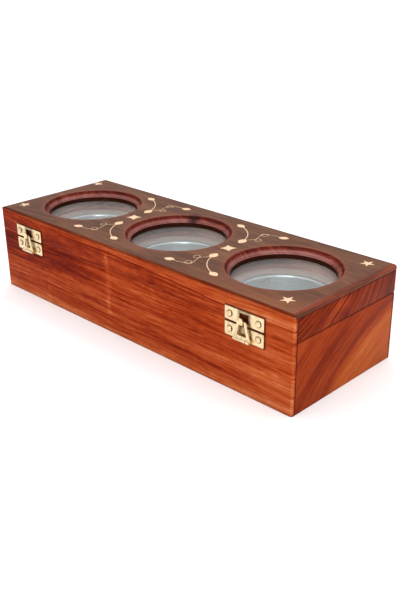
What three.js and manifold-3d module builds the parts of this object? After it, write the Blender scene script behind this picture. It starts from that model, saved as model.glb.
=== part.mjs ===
// Wooden spice box (masala dabba) with three steel bowls under round windows.
// Millimetres. +X runs along the length to the right, the clasps are on the front (-Y),
// the hinges on the back (+Y), +Z is up. The origin is the middle of the underside.

import * as THREE from 'three';
import { mergeVertices } from 'three/addons/utils/BufferGeometryUtils.js';
import Module from 'manifold-3d';

const wasm = await Module();
wasm.setup();

// ---------- driving dimensions ----------

const GAP = 0.3; // clearance left between touching pieces
const PAST = 1; // how far a cutting solid runs past the face that it cuts
const WELD = 1e-4; // corners of a mesh that are nearer than this are one corner

const box = {
  length: 305,
  width: 108,
  height: 69,
  wall: 8,
  seam: 49.5,
  lap: 2.4, // what the long boards' rebates leave to cover the edges of the end boards
  cornerRadius: 2,
};
const bottomThickness = 6;
const backChamfer = 2.2; // on both edges of the seam, along the back

const lidTop = {
  thickness: 10.8,
  lip: 3.2, // thickness where the board lies over the rails
  longEdge: { across: 1.8, down: 1.8 }, // rounding along the front and back
  shortEdge: { across: 5, down: 3 }, // rounding along the two ends
};

const bay = { pitch: 100, count: 3 };
const sides = ['left', 'middle', 'right'];

const windowCut = { topRadius: 39.5, radius: 35.6, bevelDepth: 5.1, lipDepth: 8.4, segments: 48 };
const pane = { radius: 38.4, thickness: 2, recessRadius: 38.8 };

const bowl = {
  rimTop: 48.5,
  rimRadius: 34.5,
  mouthRadius: 31.6,
  floorRadius: 22,
  height: 39.5,
  sheet: 1,
  turnRadius: 9,
  turnSteps: 3,
  rim: 1.3,
  rimRound: 0.4,
  segments: 32,
};

const tray = { top: 46.9, thickness: 5, holeRadius: 32.4, segments: 36 };
const partitionThickness = 5;

const clasp = {
  offset: 114, // from the middle of the box to the middle of a clasp
  width: 32,
  plate: 0.8,
  cornerRadius: 0.8,
  lidPlate: { bottom: 50.2, top: 59.3 },
  boxPlate: { bottom: 39.4, top: 48.7 },
  window: { width: 7.6, top: 57.6, cornerRadius: 0.4 },
  nailOffset: 11.8,
  lidNailHeight: 54.7,
  boxNailHeight: 44.2,
};

const hook = { width: 3, bottom: 50.6, sheet: 0.8, reach: 3.3, rise: 3.9, bend: 0.5, curl: 1.1 };

const tongue = {
  axisHeight: 40.7,
  axisOut: 2.9, // from the front of the box to the pin
  sheet: 0.8,
  base: { halfWidth: 6.6, height: 0.9 },
  top: { halfWidth: 3.4, height: 12.9 },
  opening: { baseHalfWidth: 4, base: 2.6, topHalfWidth: 2, top: 11.1, radius: 0.7 },
  cornerRadius: 1.6,
  footRadius: 0.6,
};

const knuckle = {
  radius: 1.5,
  bore: 0.9,
  middle: 6.6,
  side: 3,
  web: { low: -1.4, high: -0.4 }, // the strip that joins a knuckle to its plate, from the axis
  segments: 16,
  boreSegments: 12,
};
const pin = { radius: 0.6, segments: 10 };

const hinge = {
  offset: 95,
  width: 22,
  height: 10.5,
  sheet: 0.9,
  axisOut: 0.75, // from the back of the box to the pin
  cornerRadius: 0.6,
  barrel: 1.7,
  middle: 8.4,
  nailOffset: 7.4,
  nailHeight: 6.6, // above and below the seam
};

const nail = {
  headRadius: 1.9,
  headHeight: 0.9,
  crown: { radius: 1.45, height: 0.65 }, // where the dome of the head bends over
  shankRadius: 0.55,
  shank: 5,
  segments: 8,
};
const nailHole = { radius: nail.shankRadius + GAP, depth: nail.shank + 1 };

const inlay = {
  thickness: 0.8,
  vineWidth: 1.1,
  tendrilWidth: 0.6,
  pointGrowth: 1.5, // a sharp tip moves out this many times the margin round a piece
};
const star = {
  tips: 5,
  radius: 5.2,
  innerRadius: 2.1,
  places: [
    { name: 'back_left', x: -144, y: 40, turn: 0.2 },
    { name: 'front_left', x: -140.5, y: -39, turn: 0.5 },
    { name: 'back_right', x: 137, y: 41.5, turn: 0.1 },
    { name: 'front_right', x: 135.5, y: -40, turn: 0.35 },
  ],
};
const diamond = { tip: 4.6, waist: 2.2 };
const sprig = {
  offset: 50, // from the middle of the box to the middle of a pair of sprigs
  innerLeaf: { x: -2.2, y: 17, length: 9, width: 6, turn: 1.75 },
  vineLeaf: { x: -25, y: 41, length: 8.5, width: 5.4, turn: 2.9 },
  curlLeaf: { x: 15.4, y: 42, length: 8, width: 5.2, turn: 0.35 },
  vine: { from: [-2.9, 20.2], bend: [-8, 34], to: [-22.5, 40.2] },
  tendril: { from: [-2.6, 19.8], bend: [1, 36], to: [13, 41.2] },
  curveSteps: 6,
};

const material = {
  rosewood: new THREE.MeshStandardMaterial({ color: 0x9a4422, roughness: 0.42, metalness: 0 }),
  darkRosewood: new THREE.MeshStandardMaterial({ color: 0x7a3d24, roughness: 0.4, metalness: 0 }),
  plainWood: new THREE.MeshStandardMaterial({ color: 0x8a5030, roughness: 0.6, metalness: 0 }),
  brass: new THREE.MeshStandardMaterial({ color: 0xe2c27a, roughness: 0.3, metalness: 1 }),
  inlayBrass: new THREE.MeshStandardMaterial({ color: 0xe8c48e, roughness: 0.35, metalness: 1 }),
  steel: new THREE.MeshStandardMaterial({ color: 0xb8c0c2, roughness: 0.22, metalness: 1 }),
  acrylic: new THREE.MeshStandardMaterial({
    color: 0xdfe4e2,
    roughness: 0.08,
    metalness: 0,
    transparent: true,
    opacity: 0.35,
  }),
};

// Heights and faces that follow from the dimensions.
const halfLength = box.length / 2;
const halfWidth = box.width / 2;
const frontFace = -halfWidth;
const backFace = halfWidth;
const wallTop = box.seam - GAP / 2;
const railBottom = box.seam + GAP / 2;
const railTop = box.height - lidTop.lip - GAP;
const innerLength = box.length - 2 * box.wall - 2 * GAP;
const innerWidth = box.width - 2 * box.wall - 2 * GAP;
const endWidth = box.width - 2 * box.lap - 2 * GAP;
const lipDepthZ = box.height - windowCut.lipDepth;

// ---------- solids: closed meshes joined and cut ----------

function solid(geometry) {
  const bare = geometry.clone();
  bare.deleteAttribute('normal');
  bare.deleteAttribute('uv');
  const merged = mergeVertices(bare, WELD);
  return new wasm.Manifold(
    new wasm.Mesh({
      numProp: 3,
      vertProperties: new Float32Array(merged.attributes.position.array),
      triVerts: new Uint32Array(merged.index.array),
    }),
  );
}

function geometryOf(manifold) {
  const mesh = manifold.getMesh();
  const geometry = new THREE.BufferGeometry();
  geometry.setAttribute('position', new THREE.BufferAttribute(mesh.vertProperties, 3));
  geometry.setIndex(new THREE.BufferAttribute(mesh.triVerts, 1));
  geometry.computeVertexNormals();
  return geometry;
}

const joined = (first, ...others) => others.reduce((sum, other) => sum.add(other), first);
const cut = (first, ...others) => others.reduce((rest, other) => rest.subtract(other), first);

function block(xLow, xHigh, yLow, yHigh, zLow, zHigh) {
  const geometry = new THREE.BoxGeometry(xHigh - xLow, yHigh - yLow, zHigh - zLow);
  return geometry.translate((xLow + xHigh) / 2, (yLow + yHigh) / 2, (zLow + zHigh) / 2);
}

// An outline drawn in X and Y, raised from zLow to zHigh.
function raised(shape, zLow, zHigh, curveSegments = 6) {
  const depth = zHigh - zLow;
  const geometry = new THREE.ExtrudeGeometry(shape, { depth, curveSegments, bevelEnabled: false });
  return geometry.translate(0, 0, zLow);
}

// An outline drawn in Y and Z, run along X between two planes.
function alongX(shape, xLow, xHigh, curveSegments = 6) {
  const geometry = raised(shape, xLow, xHigh, curveSegments);
  return geometry.rotateX(Math.PI / 2).rotateZ(Math.PI / 2);
}

// An outline drawn in X and Z, run along Y between two planes.
function alongY(shape, yLow, yHigh, curveSegments = 6) {
  return raised(shape, -yHigh, -yLow, curveSegments).rotateX(Math.PI / 2);
}

// A profile of [radius, z] pairs turned about the Z axis.
function turned(profile, segments) {
  const points = profile.map(([radius, z]) => new THREE.Vector2(radius, z));
  return new THREE.LatheGeometry(points, segments).rotateX(Math.PI / 2);
}

function rodAlongX(radius, xLow, xHigh, y, z, segments) {
  const geometry = new THREE.CylinderGeometry(radius, radius, xHigh - xLow, segments);
  return geometry.rotateZ(Math.PI / 2).translate((xLow + xHigh) / 2, y, z);
}

function rodAlongY(radius, yLow, yHigh, x, z, segments) {
  const geometry = new THREE.CylinderGeometry(radius, radius, yHigh - yLow, segments);
  return geometry.translate(x, (yLow + yHigh) / 2, z);
}

// A closed outline of straight sides whose corners are rounded to the given radii.
function roundedOutline(corners, radii) {
  const shape = new THREE.Shape();
  const count = corners.length;
  corners.forEach((corner, i) => {
    const here = new THREE.Vector2(...corner);
    const before = new THREE.Vector2(...corners[(i + count - 1) % count]).sub(here).normalize();
    const after = new THREE.Vector2(...corners[(i + 1) % count]).sub(here).normalize();
    const radius = Array.isArray(radii) ? radii[i] : radii;
    const setback = radius / Math.tan(before.angleTo(after) / 2);
    const start = here.clone().addScaledVector(before, setback);
    const end = here.clone().addScaledVector(after, setback);
    if (i === 0) {
      shape.moveTo(start.x, start.y);
    } else {
      shape.lineTo(start.x, start.y);
    }
    if (radius > 0) {
      shape.quadraticCurveTo(here.x, here.y, end.x, end.y);
    }
  });
  shape.closePath();
  return shape;
}

function rectangle(xLow, xHigh, yLow, yHigh, radii = 0) {
  const corners = [[xLow, yLow], [xHigh, yLow], [xHigh, yHigh], [xLow, yHigh]];
  return roundedOutline(corners, radii);
}

// ---------- scene graph ----------

function part(name, geometry, finish, position = [0, 0, 0]) {
  const mesh = new THREE.Mesh(geometry, finish);
  mesh.name = name;
  mesh.position.set(...position);
  return mesh;
}

const bayCentre = (index) => (index - (bay.count - 1) / 2) * bay.pitch;
const bays = sides.map((side, index) => ({ side, x: bayCentre(index) }));
const pairs = [
  { side: 'left', sign: -1 },
  { side: 'right', sign: 1 },
];

// Every nail that is driven into the wood: its head's place and the way that it points.
const claspNails = pairs.flatMap(({ side, sign }) =>
  pairs.map((end) => ({
    name: `${side}_clasp`,
    end: end.side,
    x: sign * clasp.offset + end.sign * clasp.nailOffset,
  })),
);
const hingeNails = pairs.flatMap(({ side, sign }) =>
  pairs.map((end) => ({
    name: `${side}_hinge`,
    end: end.side,
    x: sign * hinge.offset + end.sign * hinge.nailOffset,
  })),
);

function nailHoleSolid(yLow, yHigh, x, height) {
  return solid(rodAlongY(nailHole.radius, yLow, yHigh, x, height, nail.segments));
}

function frontNailHoles(height) {
  const depth = frontFace + nailHole.depth;
  return claspNails.map(({ x }) => nailHoleSolid(frontFace - PAST, depth, x, height));
}

function backNailHoles(height) {
  const depth = backFace - nailHole.depth;
  return hingeNails.map(({ x }) => nailHoleSolid(depth, backFace + PAST, x, height));
}

// ---------- wooden box ----------

// A long board in plan: its two outer corners are rounded, and a rebate at each end takes the
// end board.
function longBoardPlan(isFront) {
  const inward = isFront ? 1 : -1;
  const outer = -inward * halfWidth;
  const lapInside = outer + inward * box.lap;
  const inside = outer + inward * box.wall;
  const shoulder = innerLength / 2;
  const corners = [
    [-halfLength, outer],
    [halfLength, outer],
    [halfLength, lapInside],
    [shoulder, lapInside],
    [shoulder, inside],
    [-shoulder, inside],
    [-shoulder, lapInside],
    [-halfLength, lapInside],
  ];
  const radii = corners.map(([, y]) => (y === outer ? box.cornerRadius : 0));
  return roundedOutline(corners, radii);
}

// The wedge that chamfers one edge of the seam along the back.
function chamferWedge(edgeHeight, direction) {
  const shape = new THREE.Shape();
  shape.moveTo(backFace - backChamfer, edgeHeight);
  shape.lineTo(backFace + PAST, edgeHeight + direction * (backChamfer + PAST));
  shape.lineTo(backFace + PAST, edgeHeight - direction * PAST);
  shape.lineTo(backFace - backChamfer, edgeHeight - direction * PAST);
  shape.closePath();
  return solid(alongX(shape, -halfLength - PAST, halfLength + PAST));
}

function boxWalls() {
  const front = cut(
    solid(raised(longBoardPlan(true), 0, wallTop)),
    ...frontNailHoles(clasp.boxNailHeight),
  );
  const back = cut(
    solid(raised(longBoardPlan(false), 0, wallTop)),
    chamferWedge(wallTop, -1),
    ...backNailHoles(box.seam - hinge.nailHeight),
  );
  const end = block(-box.wall / 2, box.wall / 2, -endWidth / 2, endWidth / 2, 0, wallTop);
  const endX = halfLength - box.wall / 2;
  return [
    part('box_front', geometryOf(front), material.rosewood),
    part('box_back', geometryOf(back), material.rosewood),
    part('box_end_left', end, material.rosewood, [-endX, 0, 0]),
    part('box_end_right', end.clone(), material.rosewood, [endX, 0, 0]),
  ];
}

function boxInside() {
  const across = innerWidth / 2;
  const along = innerLength / 2;
  const bottom = block(-along, along, -across, across, 0, bottomThickness);
  const trayBottom = tray.top - tray.thickness;
  const { holeRadius, segments } = tray;
  const holes = bays.map(({ x }) => {
    const hole = new THREE.CylinderGeometry(holeRadius, holeRadius, 2 * tray.thickness, segments);
    return solid(hole.rotateX(Math.PI / 2).translate(x, 0, tray.top - tray.thickness / 2));
  });
  const holder = cut(solid(block(-along, along, -across, across, trayBottom, tray.top)), ...holes);
  const partitions = pairs.map(({ side, sign }) => {
    const half = partitionThickness / 2;
    const board = block(-half, half, -across, across, bottomThickness + GAP, trayBottom - GAP);
    return part(`partition_${side}`, board, material.plainWood, [(sign * bay.pitch) / 2, 0, 0]);
  });
  return [
    part('box_bottom', bottom, material.plainWood),
    part('bowl_holder', geometryOf(holder), material.plainWood),
    ...partitions,
  ];
}

// ---------- lid ----------

function lidRails() {
  const front = cut(
    solid(raised(longBoardPlan(true), railBottom, railTop)),
    ...frontNailHoles(clasp.lidNailHeight),
  );
  const back = cut(
    solid(raised(longBoardPlan(false), railBottom, railTop)),
    chamferWedge(railBottom, 1),
    ...backNailHoles(box.seam + hinge.nailHeight),
  );
  const end = block(-box.wall / 2, box.wall / 2, -endWidth / 2, endWidth / 2, railBottom, railTop);
  const endX = halfLength - box.wall / 2;
  return [
    part('lid_front_rail', geometryOf(front), material.rosewood),
    part('lid_back_rail', geometryOf(back), material.rosewood),
    part('lid_end_rail_left', end, material.rosewood, [-endX, 0, 0]),
    part('lid_end_rail_right', end.clone(), material.rosewood, [endX, 0, 0]),
  ];
}

// A block seen end on whose two top corners are quarter ellipses.
function roundedTop(half, bottom, top, { across, down }) {
  const shape = new THREE.Shape();
  shape.moveTo(-half, bottom);
  shape.lineTo(half, bottom);
  shape.lineTo(half, top - down);
  shape.absellipse(half - across, top - down, across, down, 0, Math.PI / 2);
  shape.lineTo(-half + across, top);
  shape.absellipse(-half + across, top - down, across, down, Math.PI / 2, Math.PI);
  shape.closePath();
  return shape;
}

// The bevel's slope goes on past the top of the board.
function windowCutter(x) {
  const top = box.height;
  const under = top - lidTop.thickness - PAST;
  const slope = (windowCut.topRadius - windowCut.radius) / windowCut.bevelDepth;
  const profile = [
    [0, top + PAST],
    [windowCut.topRadius + slope * PAST, top + PAST],
    [windowCut.radius, top - windowCut.bevelDepth],
    [windowCut.radius, lipDepthZ],
    [pane.recessRadius, lipDepthZ],
    [pane.recessRadius, under],
    [0, under],
  ];
  return solid(turned(profile.reverse(), windowCut.segments).translate(x, 0, 0));
}

function lidTopBoard(pockets) {
  const top = box.height;
  const lipBottom = top - lidTop.lip;
  const underside = top - lidTop.thickness;
  const plan = rectangle(-halfLength, halfLength, frontFace, backFace, box.cornerRadius);
  const across = roundedTop(halfWidth, lipBottom - PAST, top, lidTop.longEdge);
  const along = roundedTop(halfLength, lipBottom - PAST, top, lidTop.shortEdge);
  const lip = solid(raised(plan, lipBottom, top))
    .intersect(solid(alongX(across, -halfLength - PAST, halfLength + PAST)))
    .intersect(solid(alongY(along, frontFace - PAST, backFace + PAST)));
  const [x, y] = [innerLength / 2, innerWidth / 2];
  const inside = block(-x, x, -y, y, underside, (lipBottom + top) / 2);
  const board = joined(lip, solid(inside));
  return cut(board, ...bays.map(({ x }) => windowCutter(x)), ...pockets);
}

function panes() {
  const { radius, thickness } = pane;
  const middle = lipDepthZ - GAP - thickness / 2;
  return bays.map(({ side, x }) => {
    const disc = new THREE.CylinderGeometry(radius, radius, thickness, windowCut.segments);
    return part(`pane_${side}`, disc.rotateX(Math.PI / 2), material.acrylic, [x, 0, middle]);
  });
}

// ---------- bowls ----------

function bowlGeometry() {
  const { rimRadius, mouthRadius, floorRadius, height, sheet, rim, rimRound } = bowl;
  const { turnRadius, turnSteps } = bowl;
  // Outside from the axis to the rim, then inside back to the axis.
  const outside = [[0, 0]];
  const inside = [[0, sheet]];
  for (let i = 0; i <= turnSteps; i += 1) {
    const angle = (i / turnSteps) * (Math.PI / 2);
    const reach = Math.sin(angle);
    const rise = 1 - Math.cos(angle);
    outside.push([floorRadius + turnRadius * reach, turnRadius * rise]);
    inside.push([floorRadius + (turnRadius - sheet) * reach, sheet + (turnRadius - sheet) * rise]);
  }
  outside.push(
    [mouthRadius, height - rim],
    [rimRadius - rimRound, height - rim],
    [rimRadius, height - rim + rimRound],
    [rimRadius, height - rimRound],
    [rimRadius - rimRound, height],
  );
  inside.push([mouthRadius - sheet, height - rim], [mouthRadius, height]);
  return turned([...outside, ...inside.reverse()], bowl.segments);
}

function bowls() {
  const geometry = bowlGeometry();
  return bays.map(({ side, x }) =>
    part(`bowl_${side}`, geometry.clone(), material.steel, [x, 0, bowl.rimTop - bowl.height]),
  );
}

// ---------- nails ----------

// A domed head on the surface with its shank going into the wood (towards -Z).
function nailGeometry() {
  const { headRadius, headHeight, crown, shankRadius, shank, segments } = nail;
  const profile = [
    [0, -shank],
    [shankRadius, -shank],
    [shankRadius, 0],
    [headRadius, 0],
    [crown.radius, crown.height],
    [0, headHeight],
  ];
  return turned(profile, segments);
}

function frontNails(level, height) {
  const geometry = nailGeometry().rotateX(Math.PI / 2);
  const y = frontFace - clasp.plate - 2 * GAP;
  return claspNails.map(({ name, end, x }) =>
    part(`${name}_${level}_nail_${end}`, geometry.clone(), material.brass, [x, y, height]),
  );
}

function backNails(level, height) {
  const geometry = nailGeometry().rotateX(-Math.PI / 2);
  const y = backFace + hinge.sheet + 2 * GAP;
  return hingeNails.map(({ name, end, x }) =>
    part(`${name}_${level}_nail_${end}`, geometry.clone(), material.brass, [x, y, height]),
  );
}

// ---------- clasps (drawn about the middle of a clasp) ----------

const plateBack = frontFace - GAP;
const plateFront = plateBack - clasp.plate;
const tongueY = frontFace - tongue.axisOut;

function claspPlateHoles(height) {
  return pairs.map(({ sign }) =>
    nailHoleSolid(plateFront - PAST, plateBack + PAST, sign * clasp.nailOffset, height),
  );
}

function claspPlate({ bottom, top }) {
  const outline = rectangle(-clasp.width / 2, clasp.width / 2, bottom, top, clasp.cornerRadius);
  return solid(alongY(outline, plateFront, plateBack, 3));
}

// The hook seen end on: out of the plate, up in a bend, and a little out again at its tip.
function hookOutline() {
  const { bottom, sheet, reach, rise, bend, curl } = hook;
  const outer = plateFront - reach;
  const inner = outer + sheet;
  const turnY = inner + bend;
  const turnZ = bottom + sheet + bend;
  const curlZ = bottom + rise + curl;
  const shape = new THREE.Shape();
  shape.moveTo(plateBack, bottom);
  shape.lineTo(turnY, bottom);
  shape.absarc(turnY, turnZ, bend + sheet, -Math.PI / 2, -Math.PI, true);
  shape.lineTo(outer, bottom + rise);
  shape.quadraticCurveTo(outer, curlZ, outer - curl, curlZ);
  shape.lineTo(outer - curl, curlZ + sheet);
  shape.quadraticCurveTo(inner, curlZ + sheet, inner, bottom + rise);
  shape.lineTo(inner, turnZ);
  shape.absarc(turnY, turnZ, bend, Math.PI, 1.5 * Math.PI, false);
  shape.lineTo(plateBack, bottom + sheet);
  shape.closePath();
  return shape;
}

function hookPlate() {
  const { width, top, cornerRadius } = clasp.window;
  const low = hook.bottom + hook.sheet;
  const opening = rectangle(-width / 2, width / 2, low, top, cornerRadius);
  return joined(
    cut(
      claspPlate(clasp.lidPlate),
      solid(alongY(opening, plateFront - PAST, plateBack + PAST, 2)),
      ...claspPlateHoles(clasp.lidNailHeight),
    ),
    solid(alongX(hookOutline(), -hook.width / 2, hook.width / 2, 3)),
  );
}

function knuckleBarrel(radius, xLow, xHigh, y = 0, z = 0) {
  return solid(rodAlongX(radius, xLow, xHigh, y, z, knuckle.segments));
}

function knuckleBore(reach, y = 0, z = 0) {
  return solid(rodAlongX(knuckle.bore, -reach, reach, y, z, knuckle.boreSegments));
}

function boxPlate() {
  const { radius, middle, side, web } = knuckle;
  const inner = middle / 2 + GAP;
  const outer = inner + side;
  const z = tongue.axisHeight;
  const sideKnuckles = pairs.flatMap(({ sign }) => {
    const [low, high] = sign < 0 ? [-outer, -inner] : [inner, outer];
    return [
      knuckleBarrel(radius, low, high, tongueY, z),
      solid(block(low, high, tongueY, plateBack, z + web.low, z + web.high)),
    ];
  });
  return cut(
    joined(claspPlate(clasp.boxPlate), ...sideKnuckles),
    knuckleBore(outer + PAST, tongueY, z),
    ...claspPlateHoles(clasp.boxNailHeight),
  );
}

// The tongue is drawn standing on its axis, which is at the origin.
function tongueGeometry() {
  const { base, top, opening, cornerRadius, footRadius, sheet } = tongue;
  const outline = roundedOutline(
    [
      [-base.halfWidth, base.height],
      [base.halfWidth, base.height],
      [top.halfWidth, top.height],
      [-top.halfWidth, top.height],
    ],
    [footRadius, footRadius, cornerRadius, cornerRadius],
  );
  const hole = roundedOutline(
    [
      [-opening.baseHalfWidth, opening.base],
      [opening.baseHalfWidth, opening.base],
      [opening.topHalfWidth, opening.top],
      [-opening.topHalfWidth, opening.top],
    ],
    opening.radius,
  );
  const half = knuckle.middle / 2;
  const plate = cut(
    solid(alongY(outline, -sheet / 2, sheet / 2, 4)),
    solid(alongY(hole, -PAST, PAST, 3)),
  );
  const foot = solid(block(-half, half, -sheet / 2, sheet / 2, 0, base.height + footRadius));
  const barrel = knuckleBarrel(knuckle.radius, -half, half);
  // Room beside the tongue's own knuckle for the plate's two knuckles.
  const reach = knuckle.radius + GAP;
  const clearance = pairs.map(({ sign }) => {
    const [low, high] = sign < 0 ? [-base.halfWidth, -half] : [half, base.halfWidth];
    return solid(block(low, high, -reach, reach, -reach, reach));
  });
  return geometryOf(cut(joined(plate, foot, barrel), ...clearance, knuckleBore(half + PAST)));
}

function claspPin() {
  const half = knuckle.middle / 2 + GAP + knuckle.side;
  return rodAlongX(pin.radius, -half, half, 0, 0, pin.segments);
}

function claspOnLid({ side, sign }) {
  const place = [sign * clasp.offset, 0, 0];
  return part(`${side}_clasp_hook_plate`, geometryOf(hookPlate()), material.brass, place);
}

function claspOnBox({ side, sign }) {
  const x = sign * clasp.offset;
  const axis = [x, tongueY, tongue.axisHeight];
  return [
    part(`${side}_clasp_box_plate`, geometryOf(boxPlate()), material.brass, [x, 0, 0]),
    part(`${side}_clasp_pin`, claspPin(), material.brass, axis),
  ];
}

function tongues() {
  return pairs.map(({ side, sign }) => {
    const axis = [sign * clasp.offset, tongueY, tongue.axisHeight];
    return part(`${side}_clasp_tongue`, tongueGeometry(), material.brass, axis);
  });
}

// ---------- hinges (drawn about the pin of a hinge, at the seam) ----------

const hingeY = backFace + hinge.axisOut;

// direction is 1 for the leaf on the lid and -1 for the leaf on the box.
function hingeLeaf(direction, knuckleSpans) {
  const { width, height, sheet, cornerRadius, barrel, nailOffset, nailHeight } = hinge;
  const near = GAP - hinge.axisOut;
  const far = near + sheet;
  const half = width / 2;
  const throat = barrel + GAP; // half of the gap that the leaf leaves for the other's knuckles
  const span = (from, to) => (direction > 0 ? [from, to] : [-to, -from]);
  const plate = alongY(rectangle(-half, half, ...span(throat, height), cornerRadius), near, far, 2);
  const knuckles = knuckleSpans.flatMap(([from, to]) => [
    knuckleBarrel(barrel, from, to),
    solid(block(from, to, near, far, ...span(0, throat + cornerRadius))),
  ]);
  const holes = pairs.map(({ sign }) =>
    nailHoleSolid(near - PAST, far + PAST, sign * nailOffset, direction * nailHeight),
  );
  return geometryOf(cut(joined(solid(plate), ...knuckles), knuckleBore(half + PAST), ...holes));
}

function hinges(direction) {
  const half = hinge.width / 2;
  const inner = hinge.middle / 2;
  const spans = direction > 0 ? [[-inner, inner]] : [[-half, -inner - GAP], [inner + GAP, half]];
  const leafName = direction > 0 ? 'lid_leaf' : 'box_leaf';
  return pairs.map(({ side, sign }) =>
    part(
      `${side}_hinge_${leafName}`,
      hingeLeaf(direction, spans),
      material.brass,
      [sign * hinge.offset, hingeY, box.seam],
    ),
  );
}

function hingePins() {
  const half = hinge.width / 2;
  return pairs.map(({ side, sign }) =>
    part(
      `${side}_hinge_pin`,
      rodAlongX(pin.radius, -half, half, 0, 0, pin.segments),
      material.brass,
      [sign * hinge.offset, hingeY, box.seam],
    ),
  );
}

// ---------- brass inlay ----------
// Each outline takes a margin, so that a piece and the pocket it lies in share one drawing.

function starShape(margin) {
  const outer = star.radius + inlay.pointGrowth * margin;
  const inner = star.innerRadius + margin;
  const shape = new THREE.Shape();
  for (let i = 0; i < 2 * star.tips; i += 1) {
    const radius = i % 2 === 0 ? outer : inner;
    const angle = (i * Math.PI) / star.tips;
    const point = [radius * Math.cos(angle), radius * Math.sin(angle)];
    if (i === 0) {
      shape.moveTo(...point);
    } else {
      shape.lineTo(...point);
    }
  }
  shape.closePath();
  return shape;
}

// A square with hollow sides, its tips on the diagonals.
function diamondShape(margin) {
  const tip = (diamond.tip + inlay.pointGrowth * margin) * Math.SQRT2;
  const waist = diamond.waist + margin;
  const at = (radius, angle) => [radius * Math.cos(angle), radius * Math.sin(angle)];
  const shape = new THREE.Shape();
  shape.moveTo(...at(tip, Math.PI / 4));
  for (let i = 1; i <= 4; i += 1) {
    const angle = Math.PI / 4 + (i * Math.PI) / 2;
    shape.quadraticCurveTo(...at(waist, angle - Math.PI / 4), ...at(tip, angle));
  }
  shape.closePath();
  return shape;
}

// A leaf pointed at both ends, its middle at the given place.
function leafShape(leaf, margin) {
  const half = leaf.length / 2 + inlay.pointGrowth * margin;
  const bulge = leaf.width + 2 * margin;
  const turn = ([u, v]) => [
    leaf.x + u * Math.cos(leaf.turn) - v * Math.sin(leaf.turn),
    leaf.y + u * Math.sin(leaf.turn) + v * Math.cos(leaf.turn),
  ];
  const shape = new THREE.Shape();
  shape.moveTo(...turn([-half, 0]));
  shape.quadraticCurveTo(...turn([0, -bulge]), ...turn([half, 0]));
  shape.quadraticCurveTo(...turn([0, bulge]), ...turn([-half, 0]));
  return shape;
}

// A strip of even width along a list of points, as one outline.
function stripShape(points, width) {
  const leftSide = [];
  const rightSide = [];
  points.forEach((point, i) => {
    const ahead = points[Math.min(i + 1, points.length - 1)];
    const behind = points[Math.max(i - 1, 0)];
    const across = new THREE.Vector2(behind.y - ahead.y, ahead.x - behind.x).normalize();
    leftSide.push(point.clone().addScaledVector(across, width / 2));
    rightSide.push(point.clone().addScaledVector(across, -width / 2));
  });
  return new THREE.Shape([...rightSide, ...leftSide.reverse()]);
}

function strip({ from, bend, to }, width) {
  const curve = new THREE.QuadraticBezierCurve(
    new THREE.Vector2(...from), new THREE.Vector2(...bend), new THREE.Vector2(...to),
  );
  return stripShape(curve.getPoints(sprig.curveSteps), width);
}

function sprigSolid(margin, zLow, zHigh) {
  const { innerLeaf, vineLeaf, curlLeaf } = sprig;
  const leaves = [innerLeaf, vineLeaf, curlLeaf].map((leaf) =>
    solid(raised(leafShape(leaf, margin), zLow, zHigh, 4)),
  );
  return joined(
    ...leaves,
    solid(raised(strip(sprig.vine, inlay.vineWidth + 2 * margin), zLow, zHigh)),
    solid(raised(strip(sprig.tendril, inlay.tendrilWidth + 2 * margin), zLow, zHigh)),
  );
}

// Every inlaid piece: its name, its solid about its own middle, and where it goes.
function inlayPieces(margin, zLow, zHigh) {
  const stars = star.places.map(({ name, x, y, turn }) => ({
    name: `inlay_star_${name}`,
    shape: solid(raised(starShape(margin), zLow, zHigh)),
    x,
    y,
    turn,
  }));
  const middles = pairs.flatMap(({ side, sign }) => [
    {
      name: `inlay_diamond_${side}`,
      shape: solid(raised(diamondShape(margin), zLow, zHigh, 4)),
      x: sign * sprig.offset,
      y: 0,
      turn: 0,
    },
    ...['back', 'front'].map((end, i) => ({
      name: `inlay_sprig_${side}_${end}`,
      shape: sprigSolid(margin, zLow, zHigh),
      x: sign * sprig.offset,
      y: 0,
      turn: i * Math.PI,
    })),
  ]);
  return [...stars, ...middles];
}

const degrees = (radians) => (radians * 180) / Math.PI;

function inlayPockets() {
  const floor = box.height - inlay.thickness - GAP;
  return inlayPieces(GAP, floor, box.height + 1).map(({ shape, x, y, turn }) =>
    shape.rotate([0, 0, degrees(turn)]).translate([x, y, 0]),
  );
}

function inlays() {
  return inlayPieces(0, -inlay.thickness, 0).map(({ name, shape, x, y, turn }) => {
    const mesh = part(name, geometryOf(shape), material.inlayBrass, [x, y, box.height]);
    mesh.rotation.z = turn;
    return mesh;
  });
}

// ---------- assembly ----------

function group(...pieces) {
  const holder = new THREE.Group();
  holder.add(...pieces.flat(2));
  return holder;
}

const lowerBox = group(
  boxWalls(),
  boxInside(),
  pairs.map(claspOnBox),
  frontNails('box', clasp.boxNailHeight),
  hinges(-1),
  hingePins(),
  backNails('box', box.seam - hinge.nailHeight),
);

const lid = group(
  lidRails(),
  part('lid_top', geometryOf(lidTopBoard(inlayPockets())), material.darkRosewood),
  panes(),
  inlays(),
  pairs.map(claspOnLid),
  frontNails('lid', clasp.lidNailHeight),
  hinges(1),
  backNails('lid', box.seam + hinge.nailHeight),
);

const spiceBox = group(lowerBox, lid, tongues(), bowls());

export default spiceBox;
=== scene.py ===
"""Looks of the spice box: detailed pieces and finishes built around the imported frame.

Lengths are in millimetres, in the frame's axes (+X along the box to the right, -Y the clasps,
+Z up), and become metres when a mesh is made. Materials also work in millimetres.
"""

import math
from functools import reduce

import bmesh
import bpy
from mathutils import Matrix, Vector


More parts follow.
